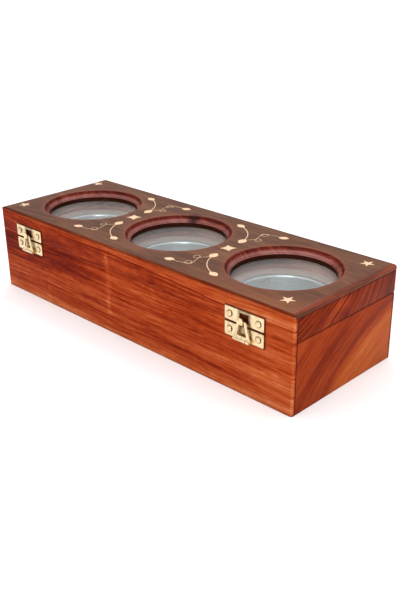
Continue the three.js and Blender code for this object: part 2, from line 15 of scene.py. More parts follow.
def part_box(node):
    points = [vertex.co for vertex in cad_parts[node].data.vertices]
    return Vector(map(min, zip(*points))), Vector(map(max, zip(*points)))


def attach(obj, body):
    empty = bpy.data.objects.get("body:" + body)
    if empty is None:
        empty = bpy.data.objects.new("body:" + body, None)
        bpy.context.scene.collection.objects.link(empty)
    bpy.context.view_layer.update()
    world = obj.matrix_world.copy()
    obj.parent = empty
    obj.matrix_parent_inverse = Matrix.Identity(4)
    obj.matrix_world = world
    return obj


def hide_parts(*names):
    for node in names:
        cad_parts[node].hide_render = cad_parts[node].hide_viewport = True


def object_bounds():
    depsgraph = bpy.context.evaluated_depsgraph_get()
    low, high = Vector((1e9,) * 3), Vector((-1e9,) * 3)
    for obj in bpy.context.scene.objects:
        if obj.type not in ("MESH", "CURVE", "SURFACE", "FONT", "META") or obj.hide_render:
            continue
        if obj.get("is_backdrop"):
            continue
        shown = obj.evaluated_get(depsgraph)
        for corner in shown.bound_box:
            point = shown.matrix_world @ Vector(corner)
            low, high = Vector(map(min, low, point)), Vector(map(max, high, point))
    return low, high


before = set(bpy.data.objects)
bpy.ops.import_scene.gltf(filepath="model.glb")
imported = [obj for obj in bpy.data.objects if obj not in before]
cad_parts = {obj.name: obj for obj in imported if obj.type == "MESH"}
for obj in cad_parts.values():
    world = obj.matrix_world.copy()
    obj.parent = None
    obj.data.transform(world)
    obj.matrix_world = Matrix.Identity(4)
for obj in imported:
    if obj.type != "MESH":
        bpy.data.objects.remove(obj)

MM = 0.001
cad_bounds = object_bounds()
SIDES = {"left": -1, "right": 1}
BAYS = ("left", "middle", "right")


def box_mm(node):
    """Lowest and highest corner of a CAD node, in millimetres."""
    low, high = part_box(node)
    return low / MM, high / MM


def centre_mm(node):
    """Middle of a CAD node's box, in millimetres."""
    low, high = box_mm(node)
    return (low + high) / 2


# ---------- sizes that the nodes' boxes do not give ----------

CORNER_RADIUS = 2.0  # upright corners of the wooden box
WORN_EDGE = 0.35  # rounding of the boards' other edges
BACK_CHAMFER = 2.2  # on both edges of the seam, along the back
TIGHT = 0.04  # joint left between glued boards
LONG_SEAM = 0.1  # opening between box and lid along the front and back
HOLE_RADIUS = 32.4  # holes of the bowl holder

TOP_LIP = 3.2  # thickness of the top board where it lies over the rails
TOP_LONG_EDGE = (1.8, 1.8)  # across, down
TOP_SHORT_EDGE = (5.0, 3.0)
WINDOW_TOP_RADIUS = 39.5
WINDOW_RADIUS = 35.6
WINDOW_BEVEL = 5.1
WINDOW_LIP = 8.4
WINDOW_FILLET = 0.7
WINDOW_WALL_TOP = 63.9  # the upright wall between this and the pane is painted dark, a painted shade
PANE_RECESS = 38.8

BOWL_MOUTH = 31.6
BOWL_FLOOR = 22.0
BOWL_TURN = 9.0
BOWL_SHEET = 1.0
BOWL_RIM = 1.3

CLASP_WINDOW = (7.6, 57.6)  # width, top
CLASP_SHEET = 0.8
HOOK = {"width": 3.0, "bottom": 50.6, "reach": 3.3, "rise": 3.9, "bend": 0.5, "curl": 1.1}
TONGUE_BASE = (6.6, 0.9)  # half width, height above the pin
TONGUE_TOP = (3.4, 12.9)
TONGUE_OPENING = ((4.0, 2.6), (2.0, 11.1))
KNUCKLE = 1.5
KNUCKLE_BORE = 0.9
KNUCKLE_MIDDLE = 6.6
KNUCKLE_SIDE = 3.0
PIN_RADIUS = 0.6

HINGE_BARREL = 1.7
HINGE_MIDDLE = 8.4
HINGE_SHEET = 0.9

NAIL_HEAD = 1.9
NAIL_HEIGHT = 0.9
NAIL_TO_PLATE_EDGE = 4.8
PIN_HEIGHTS = (26.3, 54.5)  # panel pins in the front, in the box and in the lid

INLAY_DEPTH = 0.8
POCKET_MARGIN = 0.14  # dark line of filler round each inlaid piece
STAR_RADII = (5.2, 2.1)
STARS = {
    "back_left": (-144, 40, 0.2),
    "front_left": (-140.5, -39, 0.5),
    "back_right": (137, 41.5, 0.1),
    "front_right": (135.5, -40, 0.35),
}
DIAMOND = (4.3, 2.1)  # tip, waist
SPRIG_OFFSET = 50
LEAVES = (
    # x, y, length, width, turn
    (-2.2, 17, 9, 6, 1.75),
    (-25, 41, 8.5, 5.4, 2.9),
    (15.4, 42, 8, 5.2, 0.35),
)
VINE = ((-2.9, 20.2), (-8, 34), (-22.5, 40.2))
VINE_WIDTH = 0.65
TENDRIL_WIDTH = 0.36
CURLS = ((4.6, 26.2, 360), (1.6, 37.4, 450))  # middle of each curl, and how far it goes round
CURL_RADII = (2.7, 2.1)


# ---------- meshes ----------

def make_object(name, bm):
    """A new object from a bmesh in millimetres, placed in metres."""
    bmesh.ops.scale(bm, vec=(MM, MM, MM), verts=bm.verts)
    bmesh.ops.recalc_face_normals(bm, faces=bm.faces)
    mesh = bpy.data.meshes.new(name)
    bm.to_mesh(mesh)
    bm.free()
    piece = bpy.data.objects.new(name, mesh)
    bpy.context.scene.collection.objects.link(piece)
    return piece


def bend_edges(bm, angle, offset, segments, keep=None):
    """Rounds every edge sharper than the angle, in degrees."""
    bmesh.ops.recalc_face_normals(bm, faces=bm.faces)
    sharp = [
        e for e in bm.edges
        if e.is_manifold and e.calc_face_angle(0) > math.radians(angle) and (keep is None or keep(e))
    ]
    bmesh.ops.bevel(
        bm, geom=sharp, offset=offset, segments=segments, profile=0.5, affect="EDGES", clamp_overlap=True,
    )


def prism(outline, low, high, plane="XY"):
    """A bmesh of an outline raised between two levels along the axis that its plane leaves out."""
    place = {
        "XY": lambda a, b, c: (a, b, c),
        "YZ": lambda a, b, c: (c, a, b),
        "XZ": lambda a, b, c: (a, c, b),
    }[plane]
    bm = bmesh.new()
    bottom = [bm.verts.new(place(a, b, low)) for a, b in outline]
    top = [bm.verts.new(place(a, b, high)) for a, b in outline]
    bm.faces.new(bottom[::-1])
    bm.faces.new(top)
    count = len(outline)
    for i in range(count):
        j = (i + 1) % count
        bm.faces.new((bottom[i], bottom[j], top[j], top[i]))
    bmesh.ops.recalc_face_normals(bm, faces=bm.faces)
    return bm


def moved(bm, offset=(0, 0, 0), turn=None):
    """The same bmesh turned by a matrix and then shifted."""
    if turn is not None:
        bmesh.ops.transform(bm, matrix=turn, verts=bm.verts)
    bmesh.ops.translate(bm, vec=offset, verts=bm.verts)
    return bm


def lathe(profile, segments, closed=True):
    """A profile of (radius, z) pairs turned about Z. An open profile starts and ends on the axis."""
    bm = bmesh.new()
    rings = []
    for radius, z in profile:
        if radius < 1e-6:
            rings.append([bm.verts.new((0, 0, z))])
            continue
        ring = []
        for i in range(segments):
            angle = 2 * math.pi * i / segments
            ring.append(bm.verts.new((radius * math.cos(angle), radius * math.sin(angle), z)))
        rings.append(ring)
    pairs = list(zip(rings, rings[1:]))
    if closed:
        pairs.append((rings[-1], rings[0]))
    for first, second in pairs:
        for i in range(segments):
            j = (i + 1) % segments
            corners = [first[i % len(first)], first[j % len(first)]]
            corners += [second[j % len(second)], second[i % len(second)]]
            corners = list(dict.fromkeys(corners))
            if len(corners) > 2:
                bm.faces.new(corners)
    bmesh.ops.recalc_face_normals(bm, faces=bm.faces)
    return bm


def cut_by(piece, cutter, operation="DIFFERENCE"):
    """Applies a boolean to the piece and deletes the cutter."""
    modifier = piece.modifiers.new("cut", "BOOLEAN")
    modifier.operation = operation
    modifier.solver = "EXACT"
    modifier.object = cutter
    graph = bpy.context.evaluated_depsgraph_get()
    mesh = bpy.data.meshes.new_from_object(piece.evaluated_get(graph))
    piece.modifiers.remove(modifier)
    old = piece.data
    piece.data = mesh
    mesh.name = piece.name
    bpy.data.meshes.remove(old)
    bpy.data.objects.remove(cutter)
    return piece


def solid_union(name, parts):
    """Joins closed parts that overlap into one closed piece."""
    whole = make_object(name, parts[0])
    for part in parts[1:]:
        cut_by(whole, make_object("join", part), "UNION")
    return whole


# ---------- outlines, as lists of (a, b) points ----------

def arc(centre, radii, start, end, steps):
    """Points of an arc of an ellipse, its angles in degrees."""
    points = []
    for i in range(steps + 1):
        angle = math.radians(start + (end - start) * i / steps)
        points.append((centre[0] + radii[0] * math.cos(angle), centre[1] + radii[1] * math.sin(angle)))
    return points


def rounded_polygon(corners, radii, steps=6):
    """A polygon, anticlockwise, with each corner rounded to its radius."""
    outline = []
    count = len(corners)
    for i, corner in enumerate(corners):
        here = Vector(corner)
        before = (Vector(corners[i - 1]) - here).normalized()
        after = (Vector(corners[(i + 1) % count]) - here).normalized()
        radius = radii[i] if isinstance(radii, (list, tuple)) else radii
        if radius == 0:
            outline.append(tuple(here))
            continue
        half = before.angle(after) / 2
        centre = here + (before + after).normalized() * (radius / math.sin(half))
        first = here + before * (radius / math.tan(half)) - centre
        second = here + after * (radius / math.tan(half)) - centre
        sweep = first.angle_signed(second)
        for k in range(steps + 1):
            point = Matrix.Rotation(-sweep * k / steps, 2) @ first + centre
            outline.append(tuple(point))
    return outline


def rectangle(low_a, high_a, low_b, high_b, radii=0, steps=6):
    corners = [(low_a, low_b), (high_a, low_b), (high_a, high_b), (low_a, high_b)]
    return rounded_polygon(corners, radii, steps)


def bezier(points, steps):
    """Points of a quadratic curve through its two ends, pulled to its middle point."""
    a, b, c = (Vector(p) for p in points)
    curve = []
    for i in range(steps + 1):
        t = i / steps
        curve.append(a * (1 - t) ** 2 + b * 2 * t * (1 - t) + c * t ** 2)
    return curve


# ---------- finishes ----------

class Value:
    """A number that varies over a surface; arithmetic with it adds nodes to its finish."""

    def __init__(self, finish, socket):
        self.finish = finish
        self.socket = socket

    def __add__(self, other):
        return self.finish.math("ADD", self, other)

    def __sub__(self, other):
        return self.finish.math("SUBTRACT", self, other)

    def __mul__(self, other):
        return self.finish.math("MULTIPLY", self, other)

    def __pow__(self, other):
        return self.finish.math("POWER", self, other)

    def __abs__(self):
        return self.finish.math("ABSOLUTE", self)

    def step(self, low, high):
        """0 below low and 1 above high, smooth between; low may be the larger."""
        node = self.finish.tree.nodes.new("ShaderNodeMapRange")
        node.interpolation_type = "SMOOTHSTEP"
        self.finish.put(node.inputs["Value"], self)
        node.inputs["From Min"].default_value = low
        node.inputs["From Max"].default_value = high
        return Value(self.finish, node.outputs[0])

    def line(self, centre, width):
        """1 at the centre, falling smoothly to 0 at the width on both sides."""
        return abs(self - centre).step(width, 0.0)


def length(a, b):
    """Length of the vector with these two parts."""
    return a.finish.math("SQRT", a * a + b * b)


def most(*values):
    """The largest of several values."""
    return reduce(lambda a, b: a.finish.math("MAXIMUM", a, b), values)


class Finish:
    """A material's node tree, with one short call for each kind of node that the finishes use."""

    def __init__(self, name):
        self.material = bpy.data.materials.new(name)
        self.material.use_nodes = True
        self.tree = self.material.node_tree
        self.tree.nodes.clear()
        self.output = self.tree.nodes.new("ShaderNodeOutputMaterial")
        self.shader = self.tree.nodes.new("ShaderNodeBsdfPrincipled")
        self.tree.links.new(self.shader.outputs[0], self.output.inputs["Surface"])

    def put(self, socket, value):
        """Links a socket, or sets its value."""
        if isinstance(value, Value):
            value = value.socket
        if isinstance(value, bpy.types.NodeSocket):
            self.tree.links.new(value, socket)
        else:
            socket.default_value = value

    def set(self, **values):
        """Sets the shader's inputs, named with _ for a space."""
        for name, value in values.items():
            self.put(self.shader.inputs[name.replace("_", " ")], value)

    def position(self):
        """The x, y and z of the surface in the frame at rest, in millimetres."""
        coordinates = self.tree.nodes.new("ShaderNodeTexCoord")
        scaled = self.tree.nodes.new("ShaderNodeVectorMath")
        scaled.operation = "SCALE"
        self.put(scaled.inputs[0], coordinates.outputs["Object"])
        scaled.inputs["Scale"].default_value = 1 / MM
        parts = self.tree.nodes.new("ShaderNodeSeparateXYZ")
        self.put(parts.inputs[0], scaled.outputs[0])
        return [Value(self, output) for output in parts.outputs]

    def math(self, operation, *values):
        node = self.tree.nodes.new("ShaderNodeMath")
        node.operation = operation
        for socket, value in zip(node.inputs, values):
            self.put(socket, value)
        return Value(self, node.outputs[0])

    def noise(self, parts, sizes, seed=0.0, detail=2.0, roughness=0.5):
        """Noise from 0 to 1, with features of about the given sizes along the parts."""
        vector = self.tree.nodes.new("ShaderNodeCombineXYZ")
        for socket, part, size in zip(vector.inputs, parts, sizes):
            self.put(socket, part * (1 / size) + seed)
        node = self.tree.nodes.new("ShaderNodeTexNoise")
        node.inputs["Scale"].default_value = 1.0
        node.inputs["Detail"].default_value = detail
        node.inputs["Roughness"].default_value = roughness
        self.put(node.inputs["Vector"], vector.outputs[0])
        return Value(self, node.outputs[0])

    def ramp(self, factor, stops):
        node = self.tree.nodes.new("ShaderNodeValToRGB")
        elements = node.color_ramp.elements
        while len(elements) < len(stops):
            elements.new(0.5)
        for element, (position, colour) in zip(elements, stops):
            element.position = position
            element.color = (*colour, 1)
        self.put(node.inputs[0], factor)
        return node.outputs[0]

    def mix(self, factor, first, second):
        node = self.tree.nodes.new("ShaderNodeMix")
        node.data_type = "RGBA"
        self.put(node.inputs["Factor"], factor)
        for socket, value in ((node.inputs[6], first), (node.inputs[7], second)):
            self.put(socket, (*value, 1) if isinstance(value, tuple) else value)
        return node.outputs[2]

    def bump(self, height, strength, distance):
        """A bump whose height of 1 stands for the distance, in millimetres."""
        node = self.tree.nodes.new("ShaderNodeBump")
        node.inputs["Strength"].default_value = strength
        node.inputs["Distance"].default_value = distance * MM
        self.put(node.inputs["Height"], height)
        self.put(self.shader.inputs["Normal"], node.outputs[0])


def wood_figure(finish, along, across, depth, seed, swing=1.0, band=12.0):
    """Tone from 0, dark, to 1, light, and the pores, for fibres that run along the first part.

    The swing is how far the grain wanders, the band the width of its broad light and dark bands.
    """
    parts = (along, across, depth)
    drift = finish.noise(parts, (120, 40, 40), seed, detail=1)
    swerve = finish.noise(parts, (38, 12, 20), seed + 3)
    parts = (along, across + (drift * 14 + swerve * 3 - 7) * swing, depth)
    bands = finish.noise(parts, (240, band, 30), seed + 7)
    streaks = finish.noise(parts, (60, 2.2, 9), seed + 11, detail=3, roughness=0.6)
    fine = finish.noise(parts, (26, 0.8, 4), seed + 17, detail=3, roughness=0.65)
    mottle = finish.noise(parts, (7, 3.5, 4), seed + 29, detail=3, roughness=0.6)
    tone = bands * 0.60 + streaks * 0.95 + fine * 0.80 + mottle * 0.30 - 0.825
    pores = finish.noise(parts, (6.5, 0.28, 1.2), seed + 23, detail=1).step(0.60, 0.74)
    return tone, pores


ROSEWOOD = (
    (0.00, (0.030, 0.003, 0.001)),
    (0.20, (0.125, 0.006, 0.001)),
    (0.38, (0.240, 0.022, 0.003)),
    (0.52, (0.335, 0.043, 0.008)),
    (0.66, (0.410, 0.070, 0.017)),
    (0.82, (0.500, 0.120, 0.036)),
    (1.00, (0.640, 0.250, 0.120)),
)
ENDWOOD = (
    (0.00, (0.040, 0.004, 0.002)),
    (0.20, (0.120, 0.011, 0.003)),
    (0.36, (0.215, 0.024, 0.006)),
    (0.50, (0.300, 0.041, 0.009)),
    (0.66, (0.385, 0.063, 0.013)),
    (0.84, (0.490, 0.112, 0.022)),
    (1.00, (0.600, 0.200, 0.060)),
)
TOPWOOD = (
    (0.00, (0.030, 0.010, 0.005)),
    (0.30, (0.085, 0.028, 0.012)),
    (0.55, (0.138, 0.050, 0.021)),
    (0.80, (0.190, 0.078, 0.033)),
    (1.00, (0.300, 0.140, 0.068)),
)
BEVELWOOD = (
    (0.00, (0.030, 0.003, 0.002)),
    (0.30, (0.095, 0.009, 0.005)),
    (0.55, (0.180, 0.028, 0.016)),
    (0.80, (0.280, 0.075, 0.048)),
    (1.00, (0.430, 0.160, 0.110)),
)
# Paler than bare wood: partly a painted reflection, the panes' milky haze put into the wood behind them.
RAWWOOD_WITH_PAINTED_HAZE = (
    (0.00, (0.270, 0.150, 0.105)),
    (0.40, (0.430, 0.265, 0.195)),
    (1.00, (0.620, 0.430, 0.340)),
)
# Near-black, for pores, dirt, dark joints and painted shade.
GRIME_AND_SHADE = (0.030, 0.007, 0.003)
# Dark brass, for painted shade behind the clasps' tongues and the dark rings round their nails.
BRASS_SHADE_AND_DIRT = (0.110, 0.055, 0.022)


def polished_wood(finish, tone, pores, colours, stain_and_shade=0.0, specular=0.02, roughness=(0.34, 0.48)):
    """Ends a wooden finish: its colour, its darkening by stains, dark joints and painted shade, and the
    gloss and relief that go with the grain.
    """
    colour = finish.mix(pores * 0.35, finish.ramp(tone, colours), GRIME_AND_SHADE)
    low, high = roughness
    finish.set(
        Base_Color=finish.mix(stain_and_shade, colour, GRIME_AND_SHADE),
        Roughness=(tone + pores * 0.6) * (high - low) + low,
        Specular_IOR_Level=specular,
    )
    finish.bump(tone * 0.5 - pores, 0.3, 0.05)
    return finish.material


def across_clasp(x):
    """Distance along X from the middle of the nearer clasp."""
    return abs(abs(x) - centre_mm("right_clasp_hook_plate").x)


def clasp_shade_and_dirt(x, y, z):
    """Darkening on the front face: painted shade in each clasp's window, and a dark line round its plates
    that is dirt and a painted contact shadow.
    """
    low, high = box_mm("right_clasp_hook_plate")
    bottom = box_mm("right_clasp_box_plate")[0].z
    off_x = across_clasp(x)
    off_z = abs(z - (bottom + high.z) / 2)
    outside = most(off_x - (high.x - low.x) / 2, off_z - (high.z - bottom) / 2)
    # Dirt and a painted contact shadow round the plate.
    edge = outside.step(1.3, 0.1) * 0.8
    width, top = CLASP_WINDOW
    # Painted shade in the window, where the wood shows through the plate.
    window = off_x.step(width / 2 + 1, width / 2) * z.line(top - 4, 6)
    front = box_mm("box_front")[0].y
    return most(edge, window) * y.step(front + 0.6, front + 0.1)


def front_wood():
    """The front: streaks that run on from the box to the lid, and its light and dark marks."""
    finish = Finish("rosewood_front")
    x, y, z = finish.position()
    tone, pores = wood_figure(finish, x, z, y, 2.3, swing=0.5)
    # A dark line that drops to the right under the top edge, with a light band above it.
    wander = finish.noise((x, z, y), (30, 20, 20), 5.0)
    height = x.step(120, -10) * 5.5 + wander * 2.4 + 56.3
    reach = x.step(-70, -30)
    vein = z.line(height, 0.9) * reach
    above = (z - height).step(0, 1.5) * reach
    foot = z.step(14, 4)
    # Painted shade darkens the upper left part, and painted light brightens the right part.
    left_painted_shade = x.step(-5, -90) * z.step(22, 38)
    right_painted_light = x.step(40, 150)
    tone = tone - vein * 0.36 + above * 0.08 + foot * 0.19 - left_painted_shade * 0.17 + right_painted_light * 0.10
    # A pale broken scar across the grain, left of the middle, and a fainter one left of it.
    ragged = swirl(finish, x, y, z)
    wide = finish.noise((x, z, y), (40, 11, 40), 9.0, detail=1)
    strayed = x + wide * 9 + ragged * 3 - 6
    scar = strayed.line(-18.5, 1.5) * wide.step(0.35, 0.65) + strayed.line(-19.5, 5.0) * 0.35
    scar = scar * z.step(10, 16) * z.step(66, 60) * ragged.step(0.15, 0.6)
    faint = x.line(-94, 3.0) * z.step(24, 18) * ragged.step(0.35, 0.7)
    specks = finish.noise((x, y, z), (1.3, 1.3, 1.3), 4.0, detail=1)
    chips = x.line(-19, 4.5) * z.line(51, 4.5) * specks.step(0.56, 0.66)
    # The right corner is painted paler, a painted highlight along its rounding.
    corner = (x - y).step(205.0, 205.3) * ragged.step(0.1, 0.5)
    tone = tone + scar * 0.30 + faint * 0.2 + chips * 0.6 + corner * 0.13
    # Painted shade on the rounded top edge, a painted contact shadow along the foot, and the clasps'
    # painted shade and dirt.
    top_edge_shade = z.step(66.6, 67.6) * 0.62
    foot_shadow = z.step(1.3, 0.3) * 0.6
    stain_and_shade = most(top_edge_shade, foot_shadow, clasp_shade_and_dirt(x, y, z))
    return polished_wood(finish, tone, pores, ROSEWOOD, stain_and_shade)


def swirl(finish, x, y, z):
    return finish.noise((x, y, z), (5, 5, 5), 1.0)


def end_joints_and_shade(finish, y, z, node):
    """Dark joints round an end, beside the long boards and along its long edges; along the foot of a box
    end the line is a painted contact shadow.
    """
    wander = swirl(finish, y, y, z) * 0.7 - 0.35
    low, high = box_mm(node)
    beside = (abs(y) + wander).step(high.y - 1.0, high.y - 0.1)
    under = (z + wander).step(high.z - 0.9, high.z - 0.1) * 0.6
    # At the foot of a box end this line is a painted contact shadow; on a lid end it is the seam's joint.
    over = (z + wander).step(low.z + 0.9, low.z) * 0.6
    return most(beside, under, over) * 0.75


def box_end_wood(side):
    """An end of the box: grain in wide arcs, lightest low at the back, with a dark arc round that."""
    finish = Finish(f"rosewood_end_{side}")
    x, y, z = finish.position()
    off_y = y * SIDES[side] - 88
    off_z = z + 101
    radius = length(off_y, off_z)
    angle = finish.math("ARCTAN2", off_z, off_y) * 150
    tone, pores = wood_figure(finish, angle, radius * 0.7, x, 5.7, swing=0.8, band=9.0)
    heart = radius.step(151, 138)
    ring = radius.line(151.5, 4.0)
    purple = radius.line(166, 15) * z.line(26, 22)
    tone = tone * 0.55 + heart * 0.27 - ring * 0.15 - purple * 0.10 + 0.21
    stain_and_shade = end_joints_and_shade(finish, y, z, f"box_end_{side}")
    return polished_wood(finish, tone, pores, ENDWOOD, stain_and_shade)


def lid_end_wood(side):
    """An end of the lid: streaks that rise to the back, steeper and darker as they go."""
    finish = Finish(f"rosewood_lid_end_{side}")
    x, y, z = finish.position()
    back = y * SIDES[side]
    climb = (back * 0.01 + 0.55) ** 4 * 60
    across = z - back * 0.5 - climb
    tone, pores = wood_figure(finish, back, across, x, 17.2, swing=1.9, band=7.0)
    lens = back.line(-4, 26) * z.line(60, 7)
    dark = back.step(18, 44)
    tone = tone + lens * 0.12 - dark * 0.10 - 0.17
    stain_and_shade = end_joints_and_shade(finish, y, z, f"lid_end_rail_{side}")
    return polished_wood(finish, tone, pores, ENDWOOD, stain_and_shade)


def long_wood(name, seed):
    """A board with its grain along X."""
    finish = Finish(name)
    x, y, z = finish.position()
    tone, pores = wood_figure(finish, x, z, y, seed)
    return polished_wood(finish, tone, pores, ROSEWOOD)


def top_wood():
    """The top board: brown and smooth, its windows' bevels red-brown, with a knot at one."""
    finish = Finish("rosewood_top")
    x, y, z = finish.position()
    edge = box_mm("lid_top")[1]
    tone, pores = wood_figure(finish, x, y, z, 8.1, swing=1.2, band=16.0)
    knot = x.line(-17.5, 5) * y.line(34, 8)
    tone = tone - knot * 0.9
    patches = finish.noise((x, y, z), (34, 15, 30), 14.0, detail=3)
    left_front = x.step(-30, -110) * y.step(-30, -52)
    colour = finish.ramp(tone + patches * 0.6 - left_front * 0.18 - 0.31, TOPWOOD)
    warm = x.step(20, 130) * y.step(-25, -52)
    colour = finish.mix(warm * 0.6, colour, (0.22, 0.065, 0.020))
    # Inside a window the polish is red and dark at the top; low on the bevel a patchy pale pink band is a
    # painted reflection, and a thin pale line at its foot a painted highlight.
    radius = window_radius(x, y)
    colour = finish.mix(radius.step(44.0, 40.0) * 0.35, colour, (0.24, 0.050, 0.026))
    painted_light_patches = patches * 1.6 - 0.2
    lip = z.line(WINDOW_WALL_TOP + 1.6, 1.5) * painted_light_patches
    rim = z.line(WINDOW_WALL_TOP + 0.3, 0.35) * painted_light_patches
    brim = z.step(edge.z - 2.6, edge.z - 0.8)
    depth = tone - brim * 0.22 + patches * 0.5 - 0.25
    in_window = radius.step(WINDOW_TOP_RADIUS + 2.0, WINDOW_TOP_RADIUS + 1.5)
    inside = in_window * z.step(edge.z - 0.15, edge.z - 0.7)
    # Painted reflection and highlight: pale pink mixed into the bevel.
    bevel = finish.mix(most(lip * 0.7, rim), finish.ramp(depth, BEVELWOOD), (0.42, 0.22, 0.20))
    colour = finish.mix(inside, colour, finish.mix(knot * 0.9, bevel, GRIME_AND_SHADE))
    colour = finish.mix(pores * 0.3, colour, GRIME_AND_SHADE)
    # Round the board's ends the polish is redder, and its upright edges are dirty where they meet the
    # rails; along the long edges and on each window's upright wall the darkening is painted shade.
    flat_end = edge.x - TOP_SHORT_EDGE[0]
    rounding = abs(x).step(flat_end - 0.5, flat_end + 2.0)
    end_tone = wood_figure(finish, y, x, z, 21.4, swing=0.4, band=5.0)[0]
    band = finish.mix(0.35, finish.ramp(end_tone * 1.3 - 0.36, ENDWOOD), (0.13, 0.045, 0.020))
    colour = finish.mix(rounding * 0.85, colour, band)
    dirt_and_shade = most(
        abs(y).step(edge.y - TOP_LONG_EDGE[0], edge.y - 1.0) * 0.7,
        in_window * z.step(WINDOW_WALL_TOP + 0.1, WINDOW_WALL_TOP - 0.2),
        z.step(edge.z - 2.7, edge.z - 3.1) * rounding * 0.6,
    )
    finish.set(
        Base_Color=finish.mix(dirt_and_shade, colour, GRIME_AND_SHADE),
        Roughness=(tone + pores) * 0.12 + 0.30,
        Specular_IOR_Level=inside * -0.11 + 0.15,
    )
    finish.bump(tone * 0.5 - pores * 0.8, 0.3, 0.05)
    return finish.material


def window_radius(x, y):
    """Distance from the axis of the nearest bay."""
    pitch = box_mm("bowl_right")[0].x - box_mm("bowl_middle")[0].x
    nearest = x.finish.math("ROUND", x * (1 / pitch)) * pitch
    return length(x - nearest, y)


def raw_wood():
    """Inside boards, left unpolished, and painted paler inside the lid: painted light against the shade
    there.
    """
    finish = Finish("inner_wood")
    x, y, z = finish.position()
    tone, pores = wood_figure(finish, x, y, z, 4.4)
    # Painted light: paler above the seam, inside the lid.
    tone = tone * 0.45 + z.step(49.0, 50.0) * 0.4 + 0.2
    return polished_wood(finish, tone, pores, RAWWOOD_WITH_PAINTED_HAZE, specular=0.2, roughness=(0.55, 0.7))


def clasp_shade_and_nail_rings(x, y, z):
    """Darkening on a clasp's plates: a painted shade behind its tongue, and a darker ring round each
    nail's head.
    """
    plate_middle = centre_mm("right_clasp_hook_plate").x
    upper = centre_mm("right_clasp_lid_nail_right")
    lower = centre_mm("right_clasp_box_nail_right")
    off_x = across_clasp(x)
    nail_x = off_x - (upper.x - plate_middle)
    nail_z = abs(z - (upper.z + lower.z) / 2) - (upper.z - lower.z) / 2
    ring = length(nail_x, nail_z).step(3.0, 2.0)
    # Painted shade behind the tongue.
    shade_behind_tongue = off_x.step(6.5, 4.0) * 0.8
    face = box_mm("right_clasp_hook_plate")[1].y - CLASP_SHEET
    on_plate = y.step(face - 0.3, face - 0.1) * y.step(1.0, -1.0)
    return most(shade_behind_tongue, ring) * on_plate


def brass(name, colour, dull, roughness, metallic=1.0):
    """Sheet brass: tarnish in patches, painted shade behind the clasps' tongues and dark rings round their
    nails, fine scratches and a slightly uneven face.
    """
    finish = Finish(name)
    x, y, z = finish.position()
    patches = finish.noise((x, y, z), (3.2, 3.2, 3.2), 6.0, detail=4, roughness=0.6)
    scratches = finish.noise((x + z * 0.4, y, z), (4.0, 0.12, 0.12), 9.0)
    tarnish = patches.step(0.42, 0.75)
    clean = finish.mix(tarnish * 0.6, colour, dull)
    finish.set(
        Base_Color=finish.mix(clasp_shade_and_nail_rings(x, y, z) * 0.75, clean, BRASS_SHADE_AND_DIRT),
        Metallic=metallic,
        Roughness=tarnish * 0.18 + scratches * 0.10 + roughness,
    )
    finish.bump(patches + scratches * 0.3, 0.35, 0.06)
    return finish.material


def steel():
    """Spun sheet: fine rings about each bowl's own axis, with soft smears."""
    finish = Finish("steel")
    x, y, z = finish.position()
    rings = finish.noise((window_radius(x, y), z, y), (0.35, 0.5, 60), 3.0, detail=3)
    smears = finish.noise((x, y, z), (11, 11, 11), 2.0, detail=3)
    finish.set(
        Base_Color=finish.mix(smears, (0.42, 0.47, 0.48), (0.56, 0.60, 0.61)),
        Metallic=1.0,
        Roughness=(rings + smears) * 0.10 + 0.19,
    )
    finish.bump(rings, 0.4, 0.04)
    return finish.material


def acrylic():
    """Clear sheet, hazy with scuffs, which lets the lamps' light through to the bowls."""
    finish = Finish("acrylic")
    scuffs = finish.noise(finish.position(), (9, 3, 9), 5.0, detail=5, roughness=0.7)
    finish.set(
        Base_Color=(0.93, 0.95, 0.95, 1),
        Roughness=scuffs.step(0.5, 0.8) * 0.12 + 0.03,
        IOR=1.49,
        Transmission_Weight=0.95,
    )
    tree = finish.tree
    path = tree.nodes.new("ShaderNodeLightPath")
    clear = tree.nodes.new("ShaderNodeBsdfTransparent")
    clear.inputs[0].default_value = (0.9, 0.92, 0.92, 1)
    either = tree.nodes.new("ShaderNodeMixShader")
    tree.links.new(path.outputs["Is Shadow Ray"], either.inputs[0])
    tree.links.new(finish.shader.outputs[0], either.inputs[1])
    tree.links.new(clear.outputs[0], either.inputs[2])
    tree.links.new(either.outputs[0], finish.output.inputs["Surface"])
    return finish.material


FRONT = front_wood()
BACK = long_wood("rosewood_back", 12.6)
END = {side: box_end_wood(side) for side in SIDES}
LID_END = {side: lid_end_wood(side) for side in SIDES}
TOP = top_wood()
INNER = raw_wood()
BRASS = brass("brass", (0.84, 0.66, 0.41), (0.56, 0.40, 0.21), 0.28)
INLAY = brass("inlay_brass", (0.80, 0.56, 0.36), (0.62, 0.42, 0.26), 0.45, 0.5)
STEEL = steel()
ACRYLIC = acrylic()


# ---------- pieces ----------

def finished(piece, body, slot, *materials, nodes=(), smooth=30):
    """Gives a new piece its materials and its body, and hides the CAD nodes that it stands for; the slot
    is not used.
    """
    for material in materials:
        piece.data.materials.append(material)
    piece.data.shade_smooth()
    if smooth:
        piece.data.set_sharp_from_angle(angle=math.radians(smooth))
    if nodes:
        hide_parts(*nodes)
    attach(piece, body)
    return piece


